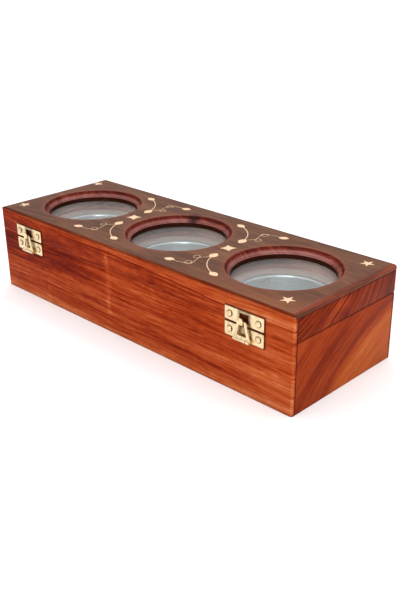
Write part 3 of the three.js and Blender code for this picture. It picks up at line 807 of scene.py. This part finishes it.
def long_board(node, name, body, material, rise=0.0, sink=0.0):
    """A front or back board, rebated for the ends, its outer upright corners round.

    Its top is raised and its bottom lowered by the given amounts. A back board's seam edge is
    chamfered.
    """
    low, high = box_mm(node)
    is_front = low.y < 0
    side = -1 if is_front else 1
    outer, inner = (low.y, high.y) if is_front else (high.y, low.y)
    shoulder = box_mm("box_end_right")[0].x - TIGHT
    lap = side * (box_mm("box_end_right")[1].y + clearance() - TIGHT)
    corners = [
        (low.x, outer), (high.x, outer), (high.x, lap), (shoulder, lap),
        (shoulder, inner), (-shoulder, inner), (-shoulder, lap), (low.x, lap),
    ]
    radii = [CORNER_RADIUS, CORNER_RADIUS, 0, 0, 0, 0, 0, 0]
    if not is_front:
        corners.reverse()
        radii.reverse()
    bm = prism(rounded_polygon(corners, radii, 8), low.z - sink, high.z + rise)
    if not is_front:
        on_lid = body == "lid"
        edge = low.z - sink if on_lid else high.z + rise
        cut_corner(bm, Vector((0, high.y - BACK_CHAMFER, edge)), Vector((0, 1, -1 if on_lid else 1)))
    bend_edges(bm, 40, WORN_EDGE, 2)
    piece = make_object(name, bm)
    finished(piece, body, "rosewood", material, INNER, nodes=[node])
    line_inside(piece, 1, inner)


def line_inside(piece, axis, level):
    """Gives the faces that look into the box, at the level along the axis, the unpolished finish."""
    for face in piece.data.polygons:
        if abs(face.center[axis] / MM - level) < 0.05 and abs(face.normal[axis]) > 0.9:
            face.material_index = 1


def clearance():
    """What the frame leaves between touching pieces."""
    return box_mm("lid_front_rail")[0].z - box_mm("box_front")[1].z


def cut_corner(bm, point, normal):
    """Slices off what lies beyond a plane and closes the cut."""
    geometry = bm.verts[:] + bm.edges[:] + bm.faces[:]
    bmesh.ops.bisect_plane(bm, geom=geometry, plane_co=point, plane_no=normal, clear_outer=True)
    open_edges = [e for e in bm.edges if e.is_boundary]
    bmesh.ops.holes_fill(bm, edges=open_edges, sides=0)


def plain_board(node, name, body, slot, grow, *materials):
    """A flat board with worn edges; grow closes the frame's clearance on the glued sides."""
    low, high = box_mm(node)
    more = Vector(grow)
    low -= more
    high += more
    bm = prism(rectangle(low.x, high.x, low.y, high.y), low.z, high.z)
    bend_edges(bm, 40, WORN_EDGE, 2)
    return finished(make_object(name, bm), body, slot, *materials, nodes=[node])


def end_board(node, name, body, material):
    low, high = box_mm(node)
    piece = plain_board(node, name, body, "rosewood", (0, clearance() - TIGHT, 0), material, INNER)
    line_inside(piece, 0, low.x if low.x > 0 else high.x)


def wooden_case():
    gap = clearance()
    rail_gap = (box_mm("lid_top")[1].z - TOP_LIP) - box_mm("lid_front_rail")[1].z
    meet = (gap - LONG_SEAM) / 2
    for board, material in (("front", FRONT), ("back", BACK)):
        long_board(f"box_{board}", f"{board}_board", "box", material, rise=meet)
        long_board(f"lid_{board}_rail", f"lid_{board}_board", "lid", material, rail_gap - TIGHT, meet)
    for side in SIDES:
        end_board(f"box_end_{side}", f"end_board_{side}", "box", END[side])
        end_board(f"lid_end_rail_{side}", f"lid_end_board_{side}", "lid", LID_END[side])
        plain_board(f"partition_{side}", f"partition_board_{side}", "box", "inner_wood", (0, 0, 0), INNER)
    plain_board("box_bottom", "bottom_board", "box", "inner_wood", (gap / 2, gap / 2, 0), INNER)


def bowl_centres():
    return [centre_mm(f"bowl_{side}") for side in BAYS]


def bowl_holder():
    """The board with three holes that the bowls hang in."""
    low, high = box_mm("bowl_holder")
    piece = make_object("bowl_holder_board", prism(rectangle(low.x, high.x, low.y, high.y), low.z, high.z))
    middle = (low.z + high.z) / 2
    half = (high.z - low.z) / 2
    profile = [
        (0, middle - half - 1),
        (HOLE_RADIUS + 1.6, middle - half - 1),
        (HOLE_RADIUS, middle - half + 0.6),
        (HOLE_RADIUS, middle + half - 0.6),
        (HOLE_RADIUS + 1.6, middle + half + 1),
        (0, middle + half + 1),
    ]
    for centre in bowl_centres():
        cutter = make_object("hole", moved(lathe(profile, 96, closed=False), (centre.x, centre.y, 0)))
        cut_by(piece, cutter)
    finished(piece, "box", "inner_wood", INNER, nodes=["bowl_holder"])


# ---------- inlay ----------

def star_outline(margin):
    outer = STAR_RADII[0] + 1.5 * margin
    inner = STAR_RADII[1] + margin
    outline = []
    for i in range(10):
        radius = inner if i % 2 else outer
        outline.append((radius * math.cos(i * math.pi / 5), radius * math.sin(i * math.pi / 5)))
    return outline


def diamond_outline(margin):
    """A square with hollow sides, its tips on the diagonals."""
    tip = (DIAMOND[0] + 1.5 * margin) * math.sqrt(2)
    waist = DIAMOND[1] + margin
    outline = []
    for i in range(4):
        corner = [(tip, i + 0.5), (waist, i + 1.0), (tip, i + 1.5)]
        points = [(r * math.cos(a * math.pi / 2), r * math.sin(a * math.pi / 2)) for r, a in corner]
        outline += [tuple(p) for p in bezier(points, 6)[:-1]]
    return outline


def leaf_outline(leaf, margin):
    x, y, length, width, turn = leaf
    half = length / 2 + 1.5 * margin
    bulge = width + 2 * margin
    lower = bezier(((-half, 0), (0, -bulge), (half, 0)), 12)[:-1]
    upper = bezier(((half, 0), (0, bulge), (-half, 0)), 12)[:-1]
    rotation = Matrix.Rotation(turn, 2)
    return [tuple(rotation @ p + Vector((x, y))) for p in lower + upper]


def strip_outline(points, width):
    """A strip of even width along a list of points."""
    left, right = [], []
    for i, point in enumerate(points):
        ahead = points[min(i + 1, len(points) - 1)] - points[max(i - 1, 0)]
        across = Vector((-ahead.y, ahead.x)).normalized() * (width / 2)
        left.append(tuple(point + across))
        right.append(tuple(point - across))
    return right + left[::-1]


def tendril_knots():
    """Where the thin wire goes: from the inner leaf, round two clockwise curls, to the far leaf."""
    knots = [(-2.6, 20.2), (-0.4, 22.4)]
    for centre_x, centre_y, sweep in CURLS:
        steps = round(sweep / 45)
        for i in range(steps + 1):
            angle = math.radians(180 - sweep * i / steps)
            radius = CURL_RADII[0] + (CURL_RADII[1] - CURL_RADII[0]) * i / steps
            knots.append((centre_x + radius * math.cos(angle), centre_y + radius * math.sin(angle)))
    return [Vector(knot) for knot in knots + [(8.0, 41.4), (12.6, 41.4)]]


def smooth_line(knots, steps):
    """Points of a smooth curve through the knots."""
    points = []
    for i in range(len(knots) - 1):
        before, start, end = knots[max(i - 1, 0)], knots[i], knots[i + 1]
        after = knots[min(i + 2, len(knots) - 1)]
        for k in range(steps):
            t = k / steps
            points.append(
                start
                + (end - before) * (t / 2)
                + (before * 2 - start * 5 + end * 4 - after) * (t * t / 2)
                + (start * 3 - before - end * 3 + after) * (t ** 3 / 2)
            )
    return points + [knots[-1]]


def wire_parts(points, width, low, high, stretch=5):
    """Short strips along a line that may cross itself, each overlapping the next."""
    parts = []
    for start in range(0, len(points) - 2, stretch):
        piece = points[start:start + stretch + 2]
        parts.append(prism(strip_outline(piece, width), low, high))
    return parts


def sprig_parts(margin, low, high):
    parts = [prism(leaf_outline(leaf, margin), low, high) for leaf in LEAVES]
    parts.append(prism(strip_outline(bezier(VINE, 14), VINE_WIDTH + 2 * margin), low, high))
    parts += wire_parts(smooth_line(tendril_knots(), 3), TENDRIL_WIDTH + 2 * margin, low, high)
    return parts


def inlay_plan():
    """Name, maker of its parts, and place and turn of every inlaid piece."""
    plan = []
    for corner, (x, y, turn) in STARS.items():
        plan.append((f"star_{corner}", lambda m, a, b: [prism(star_outline(m), a, b)], x, y, turn))
    for side, sign in SIDES.items():
        x = sign * SPRIG_OFFSET
        plan.append((f"diamond_{side}", lambda m, a, b: [prism(diamond_outline(m), a, b)], x, 0, 0))
        for end, turn in (("back", 0), ("front", math.pi)):
            plan.append((f"sprig_{side}_{end}", sprig_parts, x, 0, turn))
    return plan


def inlays(top):
    for name, parts, x, y, turn in inlay_plan():
        turned = placed_parts(parts(0, top - INLAY_DEPTH, top), x, y, turn)
        piece = solid_union(f"brass_{name}", turned)
        finished(piece, "lid", "inlay_brass", INLAY, nodes=[f"inlay_{name}"])


def placed_parts(parts, x, y, turn):
    rotation = Matrix.Rotation(turn, 4, "Z")
    return [moved(part, (x, y, 0), rotation) for part in parts]


def pocket_cutters(top):
    """A solid that cuts each inlaid piece's pocket."""
    for name, parts, x, y, turn in inlay_plan():
        cutters = parts(POCKET_MARGIN, top - INLAY_DEPTH - 0.1, top + 1)
        yield solid_union(f"pocket_{name}", placed_parts(cutters, x, y, turn))


# ---------- lid top ----------

def rounded_top(half, bottom, top, across, down):
    """The board seen end on, its two top corners quarter ellipses."""
    right = arc((half - across, top - down), (across, down), 0, 90, 12)
    left = arc((-half + across, top - down), (across, down), 90, 180, 12)
    return [(-half, bottom), (half, bottom)] + right + left


def window_profile(top, underside):
    """The cutter of a window: its bevel, rounded at both ends, then the wall and the pane's recess."""
    slope = (WINDOW_TOP_RADIUS - WINDOW_RADIUS) / WINDOW_BEVEL
    lean = math.atan(slope)
    fillet = WINDOW_FILLET
    reach = fillet * math.tan((math.pi / 2 - lean) / 2)
    flat = WINDOW_TOP_RADIUS + reach
    edge = arc((flat, top - fillet), (fillet, fillet), 90, 180 - math.degrees(lean), 5)
    wall_turn = top - WINDOW_BEVEL
    return [
        (0, top + 1),
        (flat + 1, top + 1),
        (flat + 1, top + 0.001),
        *edge,
        (WINDOW_RADIUS + slope * 0.5, wall_turn + 0.5),
        (WINDOW_RADIUS + slope * 0.1, wall_turn + 0.1),
        (WINDOW_RADIUS, wall_turn - 0.3),
        (WINDOW_RADIUS, top - WINDOW_LIP),
        (PANE_RECESS, top - WINDOW_LIP),
        (PANE_RECESS, underside - 1),
        (0, underside - 1),
    ]


def lid_top():
    low, high = box_mm("lid_top")
    half = (high - low) / 2
    lip = high.z - TOP_LIP
    plan = prism(rectangle(low.x, high.x, low.y, high.y, CORNER_RADIUS, 10), lip, high.z)
    across = prism(rounded_top(half.y, lip - 1, high.z, *TOP_LONG_EDGE), low.x - 1, high.x + 1, "YZ")
    along = prism(rounded_top(half.x, lip - 1, high.z, *TOP_SHORT_EDGE), low.y - 1, high.y + 1, "XZ")
    board = make_object("top_board", plan)
    cut_by(board, make_object("across", across), "INTERSECT")
    cut_by(board, make_object("along", along), "INTERSECT")
    rail = box_mm("lid_end_rail_right")[0]
    inner_x = rail.x - TIGHT
    inner_y = box_mm("lid_back_rail")[0].y - TIGHT
    plug = prism(rectangle(-inner_x, inner_x, -inner_y, inner_y), low.z, lip + 0.5)
    cut_by(board, make_object("plug", plug), "UNION")
    profile = window_profile(high.z, low.z)
    for centre in bowl_centres():
        window = moved(lathe(profile, 128, closed=False), (centre.x, centre.y, 0))
        cut_by(board, make_object("window", window))
    for cutter in pocket_cutters(high.z):
        cut_by(board, cutter)
    finished(board, "lid", "rosewood_top", TOP, FRONT, INNER, nodes=["lid_top"])
    # Its underside is unpolished, and its long edges go with the front.
    for face in board.data.polygons:
        if face.normal.z < -0.5 and face.center.z < (low.z + 1) * MM:
            face.material_index = 2
        elif abs(face.center.y) > (high.y - TOP_LONG_EDGE[0]) * MM and abs(face.normal.y) > 0.5:
            face.material_index = 1


def panes():
    for side in BAYS:
        node = f"pane_{side}"
        low, high = box_mm(node)
        radius = (high.x - low.x) / 2
        thickness = high.z - low.z
        edge = 0.25
        profile = [
            (0, 0),
            (radius - edge, 0),
            (radius, edge),
            (radius, thickness - edge),
            (radius - edge, thickness),
            (0, thickness),
        ]
        centre = (low + high) / 2
        bm = moved(lathe(profile, 128, closed=False), (centre.x, centre.y, low.z))
        finished(make_object(f"clear_{node}", bm), "lid", "acrylic", ACRYLIC, nodes=[node])


# ---------- bowls ----------

def bowl_profile(rim_radius, height):
    """From the axis along the outside, over the rolled rim and back down the inside."""
    turn = (BOWL_FLOOR, BOWL_TURN)
    outside = arc(turn, (BOWL_TURN, BOWL_TURN), -90, 0, 12)
    inner = BOWL_TURN - BOWL_SHEET
    inside = arc(turn, (inner, inner), 0, -90, 12)
    roll = BOWL_RIM / 2
    rim = arc((rim_radius - roll, height - roll), (roll, roll), -90, 90, 10)
    throat = [
        (BOWL_MOUTH + 0.2, height),
        (BOWL_MOUTH - 0.5, height - 0.25),
        (BOWL_MOUTH - BOWL_SHEET, height - BOWL_RIM),
    ]
    foot = [(0, 0.9), (13, 0.9), (14.2, 0)]
    well = [(14.0, BOWL_SHEET), (12.8, BOWL_SHEET + 0.8), (0, BOWL_SHEET + 0.8)]
    return foot + outside + [(BOWL_MOUTH, height - BOWL_RIM)] + rim + throat + inside + well


def bowls():
    for side, centre in zip(BAYS, bowl_centres()):
        low, high = box_mm(f"bowl_{side}")
        profile = bowl_profile((high.x - low.x) / 2, high.z - low.z)
        bm = moved(lathe(profile, 128, closed=False), (centre.x, centre.y, low.z))
        piece = make_object(f"steel_bowl_{side}", bm)
        finished(piece, f"{side}_bowl", "steel", STEEL, nodes=[f"bowl_{side}"], smooth=50)


# ---------- nails ----------

def nail_shape():
    """A domed head, drawn with its underside at 0 and pointing up."""
    crown = []
    for i in range(9):
        angle = math.radians(90 * i / 8)
        crown.append((NAIL_HEAD * math.cos(angle) ** 0.8, 0.12 + (NAIL_HEIGHT - 0.12) * math.sin(angle)))
    crown[-1] = (0, NAIL_HEIGHT)
    return [(0, -0.6), (0.5, -0.6), (0.5, 0), (NAIL_HEAD - 0.1, 0)] + crown


def nails():
    """Every nail of the clasps and hinges: its head stands on the plate, facing out."""
    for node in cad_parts:
        if "_nail_" not in node:
            continue
        low, high = box_mm(node)
        is_front = low.y < 0
        direction = -1 if is_front else 1
        centre = (low + high) / 2
        seat = low.y + NAIL_HEIGHT if is_front else high.y - NAIL_HEIGHT
        turn = Matrix.Rotation(math.radians(-90 * direction), 4, "X")
        bm = moved(lathe(nail_shape(), 24, closed=False), (centre.x, seat, centre.z), turn)
        body = "lid" if "_lid_" in node else "box"
        finished(make_object(f"brass_{node}", bm), body, "brass", BRASS, nodes=[node])


def panel_pins():
    """Small nail heads near the front's right corner, and one in the lid's right end."""
    low, high = box_mm("box_end_right")
    front = box_mm("box_front")[0].y
    quarter = math.radians(90)
    facing_front = Matrix.Rotation(quarter, 4, "X")
    facing_right = Matrix.Rotation(quarter, 4, "Y")
    middle = (low.x + high.x) / 2
    pins = (
        ("box_front", "box", (middle, front, PIN_HEIGHTS[0]), facing_front),
        ("lid_front", "lid", (middle, front, PIN_HEIGHTS[1]), facing_front),
        ("lid_right", "lid", (high.x, 12, 60.8), facing_right),
    )
    for name, body, place, turn in pins:
        head = [(0, -0.5), (0.75, -0.5), (0.8, -0.02), (0.6, 0), (0, -0.01)]
        piece = make_object(f"panel_pin_{name}", moved(lathe(head, 16, closed=False), place, turn))
        finished(piece, body, "brass", BRASS)


# ---------- clasps ----------

def tube_along_x(outer, inner, low, high, y, z, segments=32):
    """A knuckle: a short tube with softened ends."""
    soft = 0.15
    profile = [
        (inner, low),
        (outer - soft, low),
        (outer, low + soft),
        (outer, high - soft),
        (outer - soft, high),
        (inner, high),
    ]
    turn = Matrix.Rotation(math.radians(90), 4, "Y")
    return moved(lathe(profile, segments), (0, y, z), turn)


def rod_along_x(radius, low, high, y, z):
    """A pin with rounded ends."""
    profile = [(0, low), (radius * 0.7, low), (radius, low + 0.2), (radius, high - 0.2)]
    profile += [(radius * 0.7, high), (0, high)]
    turn = Matrix.Rotation(math.radians(90), 4, "Y")
    return moved(lathe(profile, 20, closed=False), (0, y, z), turn)


def plate(outline, low, high, soft=0.18):
    """A flat sheet facing the front or back, its edges softened."""
    bm = prism(outline, low, high, "XZ")
    bend_edges(bm, 50, soft, 2)
    return bm


def hook_strip():
    """The hook seen end on: out of the plate, up in a bend, and a little out at its tip."""
    plate_back = box_mm("right_clasp_hook_plate")[1].y
    plate_front = plate_back - CLASP_SHEET
    sheet = CLASP_SHEET
    bottom, bend, curl = HOOK["bottom"], HOOK["bend"], HOOK["curl"]
    outer = plate_front - HOOK["reach"]
    inner = outer + sheet
    turn = (inner + bend, bottom + sheet + bend)
    shoulder = bottom + HOOK["rise"]
    outline = [(plate_back - 0.2, bottom)]
    outline += arc(turn, (bend + sheet, bend + sheet), -90, -180, 8)
    outline += arc((outer - curl, shoulder), (curl, curl), 0, 90, 8)
    outline += arc((outer - curl, shoulder), (curl + sheet, curl + sheet), 90, 0, 10)
    outline += arc(turn, (bend, bend), 180, 270, 6)
    outline += [(plate_back - 0.2, bottom + sheet)]
    bm = prism(outline, -HOOK["width"] / 2, HOOK["width"] / 2, "YZ")
    bend_edges(bm, 50, 0.15, 2)
    return bm


def clasp_plate_outline(low, high):
    return rectangle(low.x, high.x, low.z, high.z, 0.8, 5)


def clasps():
    for side in SIDES:
        low, high = box_mm(f"{side}_clasp_hook_plate")
        x = centre_mm(f"{side}_clasp_hook_plate").x
        face = high.y - CLASP_SHEET
        sheet = make_object(f"{side}_hook_plate", plate(clasp_plate_outline(low, high), face, high.y))
        width, top = CLASP_WINDOW
        opening = rectangle(x - width / 2, x + width / 2, HOOK["bottom"] + CLASP_SHEET, top, 0.5)
        cut_by(sheet, make_object("opening", prism(opening, face - 1, high.y + 1, "XZ")))
        cut_by(sheet, make_object("hook", moved(hook_strip(), (x, 0, 0))), "UNION")
        finished(sheet, "lid", "brass", BRASS, nodes=[f"{side}_clasp_hook_plate"])
        box_plate_and_pin(side, x)
        tongue(side, x)


def box_plate_and_pin(side, x):
    node = f"{side}_clasp_box_plate"
    low, high = box_mm(node)
    pin_low, pin_high = box_mm(f"{side}_clasp_pin")
    axis = (pin_low + pin_high) / 2
    inner = KNUCKLE_MIDDLE / 2 + 0.3
    outer = inner + KNUCKLE_SIDE
    outline = rectangle(low.x, high.x, box_plate_bottom(side), high.z, 0.8, 5)
    parts = [plate(outline, high.y - CLASP_SHEET, high.y)]
    for start, end in ((-outer, -inner), (inner, outer)):
        web = rectangle(axis.y, high.y - 0.2, axis.z - 1.4, axis.z - 0.6)
        parts.append(prism(web, x + start + 0.1, x + end - 0.1, "YZ"))
    sheet = solid_union(f"{side}_box_plate", parts)
    for start, end in ((-outer, -inner), (inner, outer)):
        knuckle = tube_along_x(KNUCKLE, KNUCKLE_BORE, start, end, axis.y, axis.z)
        cut_by(sheet, make_object("knuckle", moved(knuckle, (x, 0, 0))), "UNION")
    finished(sheet, "box", "brass", BRASS, nodes=[node])
    rod = moved(rod_along_x(PIN_RADIUS, pin_low.x - x, pin_high.x - x, axis.y, axis.z), (x, 0, 0))
    finished(make_object(f"{side}_pin", rod), "box", "brass", BRASS, nodes=[f"{side}_clasp_pin"])


def box_plate_bottom(side):
    """The plate's own lower edge, which its knuckles hang below."""
    return centre_mm(f"{side}_clasp_box_nail_left").z - NAIL_TO_PLATE_EDGE


def tongue(side, x):
    """The tongue: a tapered sheet with an opening, on a knuckle of its own."""
    node = f"{side}_clasp_tongue"
    axis = centre_mm(f"{side}_clasp_pin")
    (base, base_z), (top, top_z) = TONGUE_BASE, TONGUE_TOP
    outline = rounded_polygon(
        [(-base, base_z), (base, base_z), (top, top_z), (-top, top_z)], [0.6, 0.6, 1.6, 1.6],
    )
    sheet = make_object(f"{side}_tongue_sheet", plate(outline, -CLASP_SHEET / 2, CLASP_SHEET / 2, 0.2))
    (hole_base, low), (hole_top, high) = TONGUE_OPENING
    hole = rounded_polygon([(-hole_base, low), (hole_base, low), (hole_top, high), (-hole_top, high)], 0.7)
    cut_by(sheet, make_object("opening", prism(hole, -2, 2, "XZ")))
    half = KNUCKLE_MIDDLE / 2
    foot = prism(rectangle(-half + 0.1, half - 0.1, KNUCKLE_BORE + 0.1, base_z + 0.6), -0.38, 0.38, "XZ")
    cut_by(sheet, make_object("foot", foot), "UNION")
    barrel = tube_along_x(KNUCKLE, KNUCKLE_BORE, -half, half, 0, 0)
    cut_by(sheet, make_object("barrel", barrel), "UNION")
    sheet.data.transform(Matrix.Translation(Vector((x, axis.y, axis.z)) * MM))
    finished(sheet, f"{side}_tongue", "brass", BRASS, nodes=[node])


# ---------- hinges ----------

def hinges():
    for side in SIDES:
        pin_low, pin_high = box_mm(f"{side}_hinge_pin")
        axis = (pin_low + pin_high) / 2
        half = (pin_high.x - pin_low.x) / 2
        inner = HINGE_MIDDLE / 2
        leaf("lid", side, axis, half, [(-inner, inner)])
        leaf("box", side, axis, half, [(-half, -inner - 0.3), (inner + 0.3, half)])
        rod = moved(rod_along_x(PIN_RADIUS, -half, half, axis.y, axis.z), (axis.x, 0, 0))
        finished(make_object(f"{side}_hinge_rod", rod), "box", "brass", BRASS, nodes=[f"{side}_hinge_pin"])


def leaf(body, side, axis, half, spans):
    node = f"{side}_hinge_{body}_leaf"
    low, high = box_mm(node)
    near = axis.y - 0.45
    throat = HINGE_BARREL + 0.3
    up = body == "lid"
    bottom, top = (throat, high.z - axis.z) if up else (low.z - axis.z, -throat)
    sheet = plate(rectangle(-half, half, bottom, top, 0.6, 4), near, near + HINGE_SHEET)
    parts = [moved(sheet, (0, 0, axis.z))]
    for start, end in spans:
        web_low, web_high = (1.2, throat + 0.5) if up else (-throat - 0.5, -1.2)
        outline = rectangle(start + 0.1, end - 0.1, web_low, web_high)
        parts.append(moved(prism(outline, near + 0.05, near + HINGE_SHEET - 0.05, "XZ"), (0, 0, axis.z)))
    piece = solid_union(f"{side}_{body}_leaf", parts)
    for start, end in spans:
        knuckle = tube_along_x(HINGE_BARREL, KNUCKLE_BORE, start, end, axis.y, axis.z)
        cut_by(piece, make_object("knuckle", knuckle), "UNION")
    piece.data.transform(Matrix.Translation(Vector((axis.x, 0, 0)) * MM))
    finished(piece, body, "brass", BRASS, nodes=[node])


# ---------- studio ----------

def camera():
    """The viewpoint: in front to the right, looking down on the box, leaning by under a degree."""
    data = bpy.data.cameras.new("camera")
    data.sensor_width = 36
    data.lens = 48.58
    data.clip_start = 0.01
    data.clip_end = 100
    piece = bpy.data.objects.new("camera", data)
    bpy.context.scene.collection.objects.link(piece)
    azimuth, elevation, roll = math.radians(44.95), math.radians(24.27), math.radians(-0.75)
    back = Vector((
        math.sin(azimuth) * math.cos(elevation),
        -math.cos(azimuth) * math.cos(elevation),
        math.sin(elevation),
    ))
    facing = (-back).to_track_quat("-Z", "Y").to_matrix().to_4x4()
    piece.matrix_world = (
        Matrix.Translation(Vector((409.74, -389.0, 268.28)) * MM) @ facing @ Matrix.Rotation(roll, 4, "Z")
    )
    bpy.context.scene.camera = piece


def lamp(name, place, size, power, colour=(1, 1, 1)):
    """A soft square lamp that faces the box."""
    data = bpy.data.lights.new(name, "AREA")
    data.size = size
    data.energy = power
    data.color = colour
    piece = bpy.data.objects.new(name, data)
    piece.location = place
    piece.rotation_euler = (Vector((0, 0, 0.03)) - Vector(place)).to_track_quat("-Z", "Y").to_euler()
    bpy.context.scene.collection.objects.link(piece)


def floor():
    bm = bmesh.new()
    bmesh.ops.create_grid(bm, x_segments=8, y_segments=8, size=30000)
    piece = make_object("floor", bm)
    finish = Finish("floor")
    grain = finish.noise(finish.position(), (40, 40, 40), detail=3)
    finish.set(
        Base_Color=finish.mix(grain, (0.93, 0.93, 0.93), (0.96, 0.96, 0.96)),
        Roughness=0.9,
        Specular_IOR_Level=0.1,
    )
    piece.data.materials.append(finish.material)
    piece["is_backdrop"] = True


def studio():
    scene = bpy.context.scene
    scene.view_settings.view_transform = "Standard"
    world = bpy.data.worlds.new("studio")
    world.use_nodes = True
    tree = world.node_tree
    background = tree.nodes["Background"]
    background.inputs["Color"].default_value = (1, 1, 1, 1)
    # The room is dim round about and bright overhead.
    direction = tree.nodes.new("ShaderNodeTexCoord")
    parts = tree.nodes.new("ShaderNodeSeparateXYZ")
    glow = tree.nodes.new("ShaderNodeMapRange")
    for name, value in (("From Min", 0.35), ("From Max", 0.75), ("To Min", 0.4), ("To Max", 1.45)):
        glow.inputs[name].default_value = value
    tree.links.new(direction.outputs["Generated"], parts.inputs[0])
    tree.links.new(parts.outputs[2], glow.inputs["Value"])
    tree.links.new(glow.outputs[0], background.inputs["Strength"])
    scene.world = world
    lamp("key", (0.9, -1.3, 1.3), 0.9, 15)
    lamp("back", (-0.9, 1.0, 2.3), 0.4, 12)
    floor()


camera()
studio()
wooden_case()
bowl_holder()
lid_top()
inlays(box_mm("lid_top")[1].z)
panes()
bowls()
clasps()
hinges()
nails()
panel_pins()

measured = {"cad": cad_bounds, "visual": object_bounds()}
{name: [list(corner) for corner in corners] for name, corners in measured.items()}
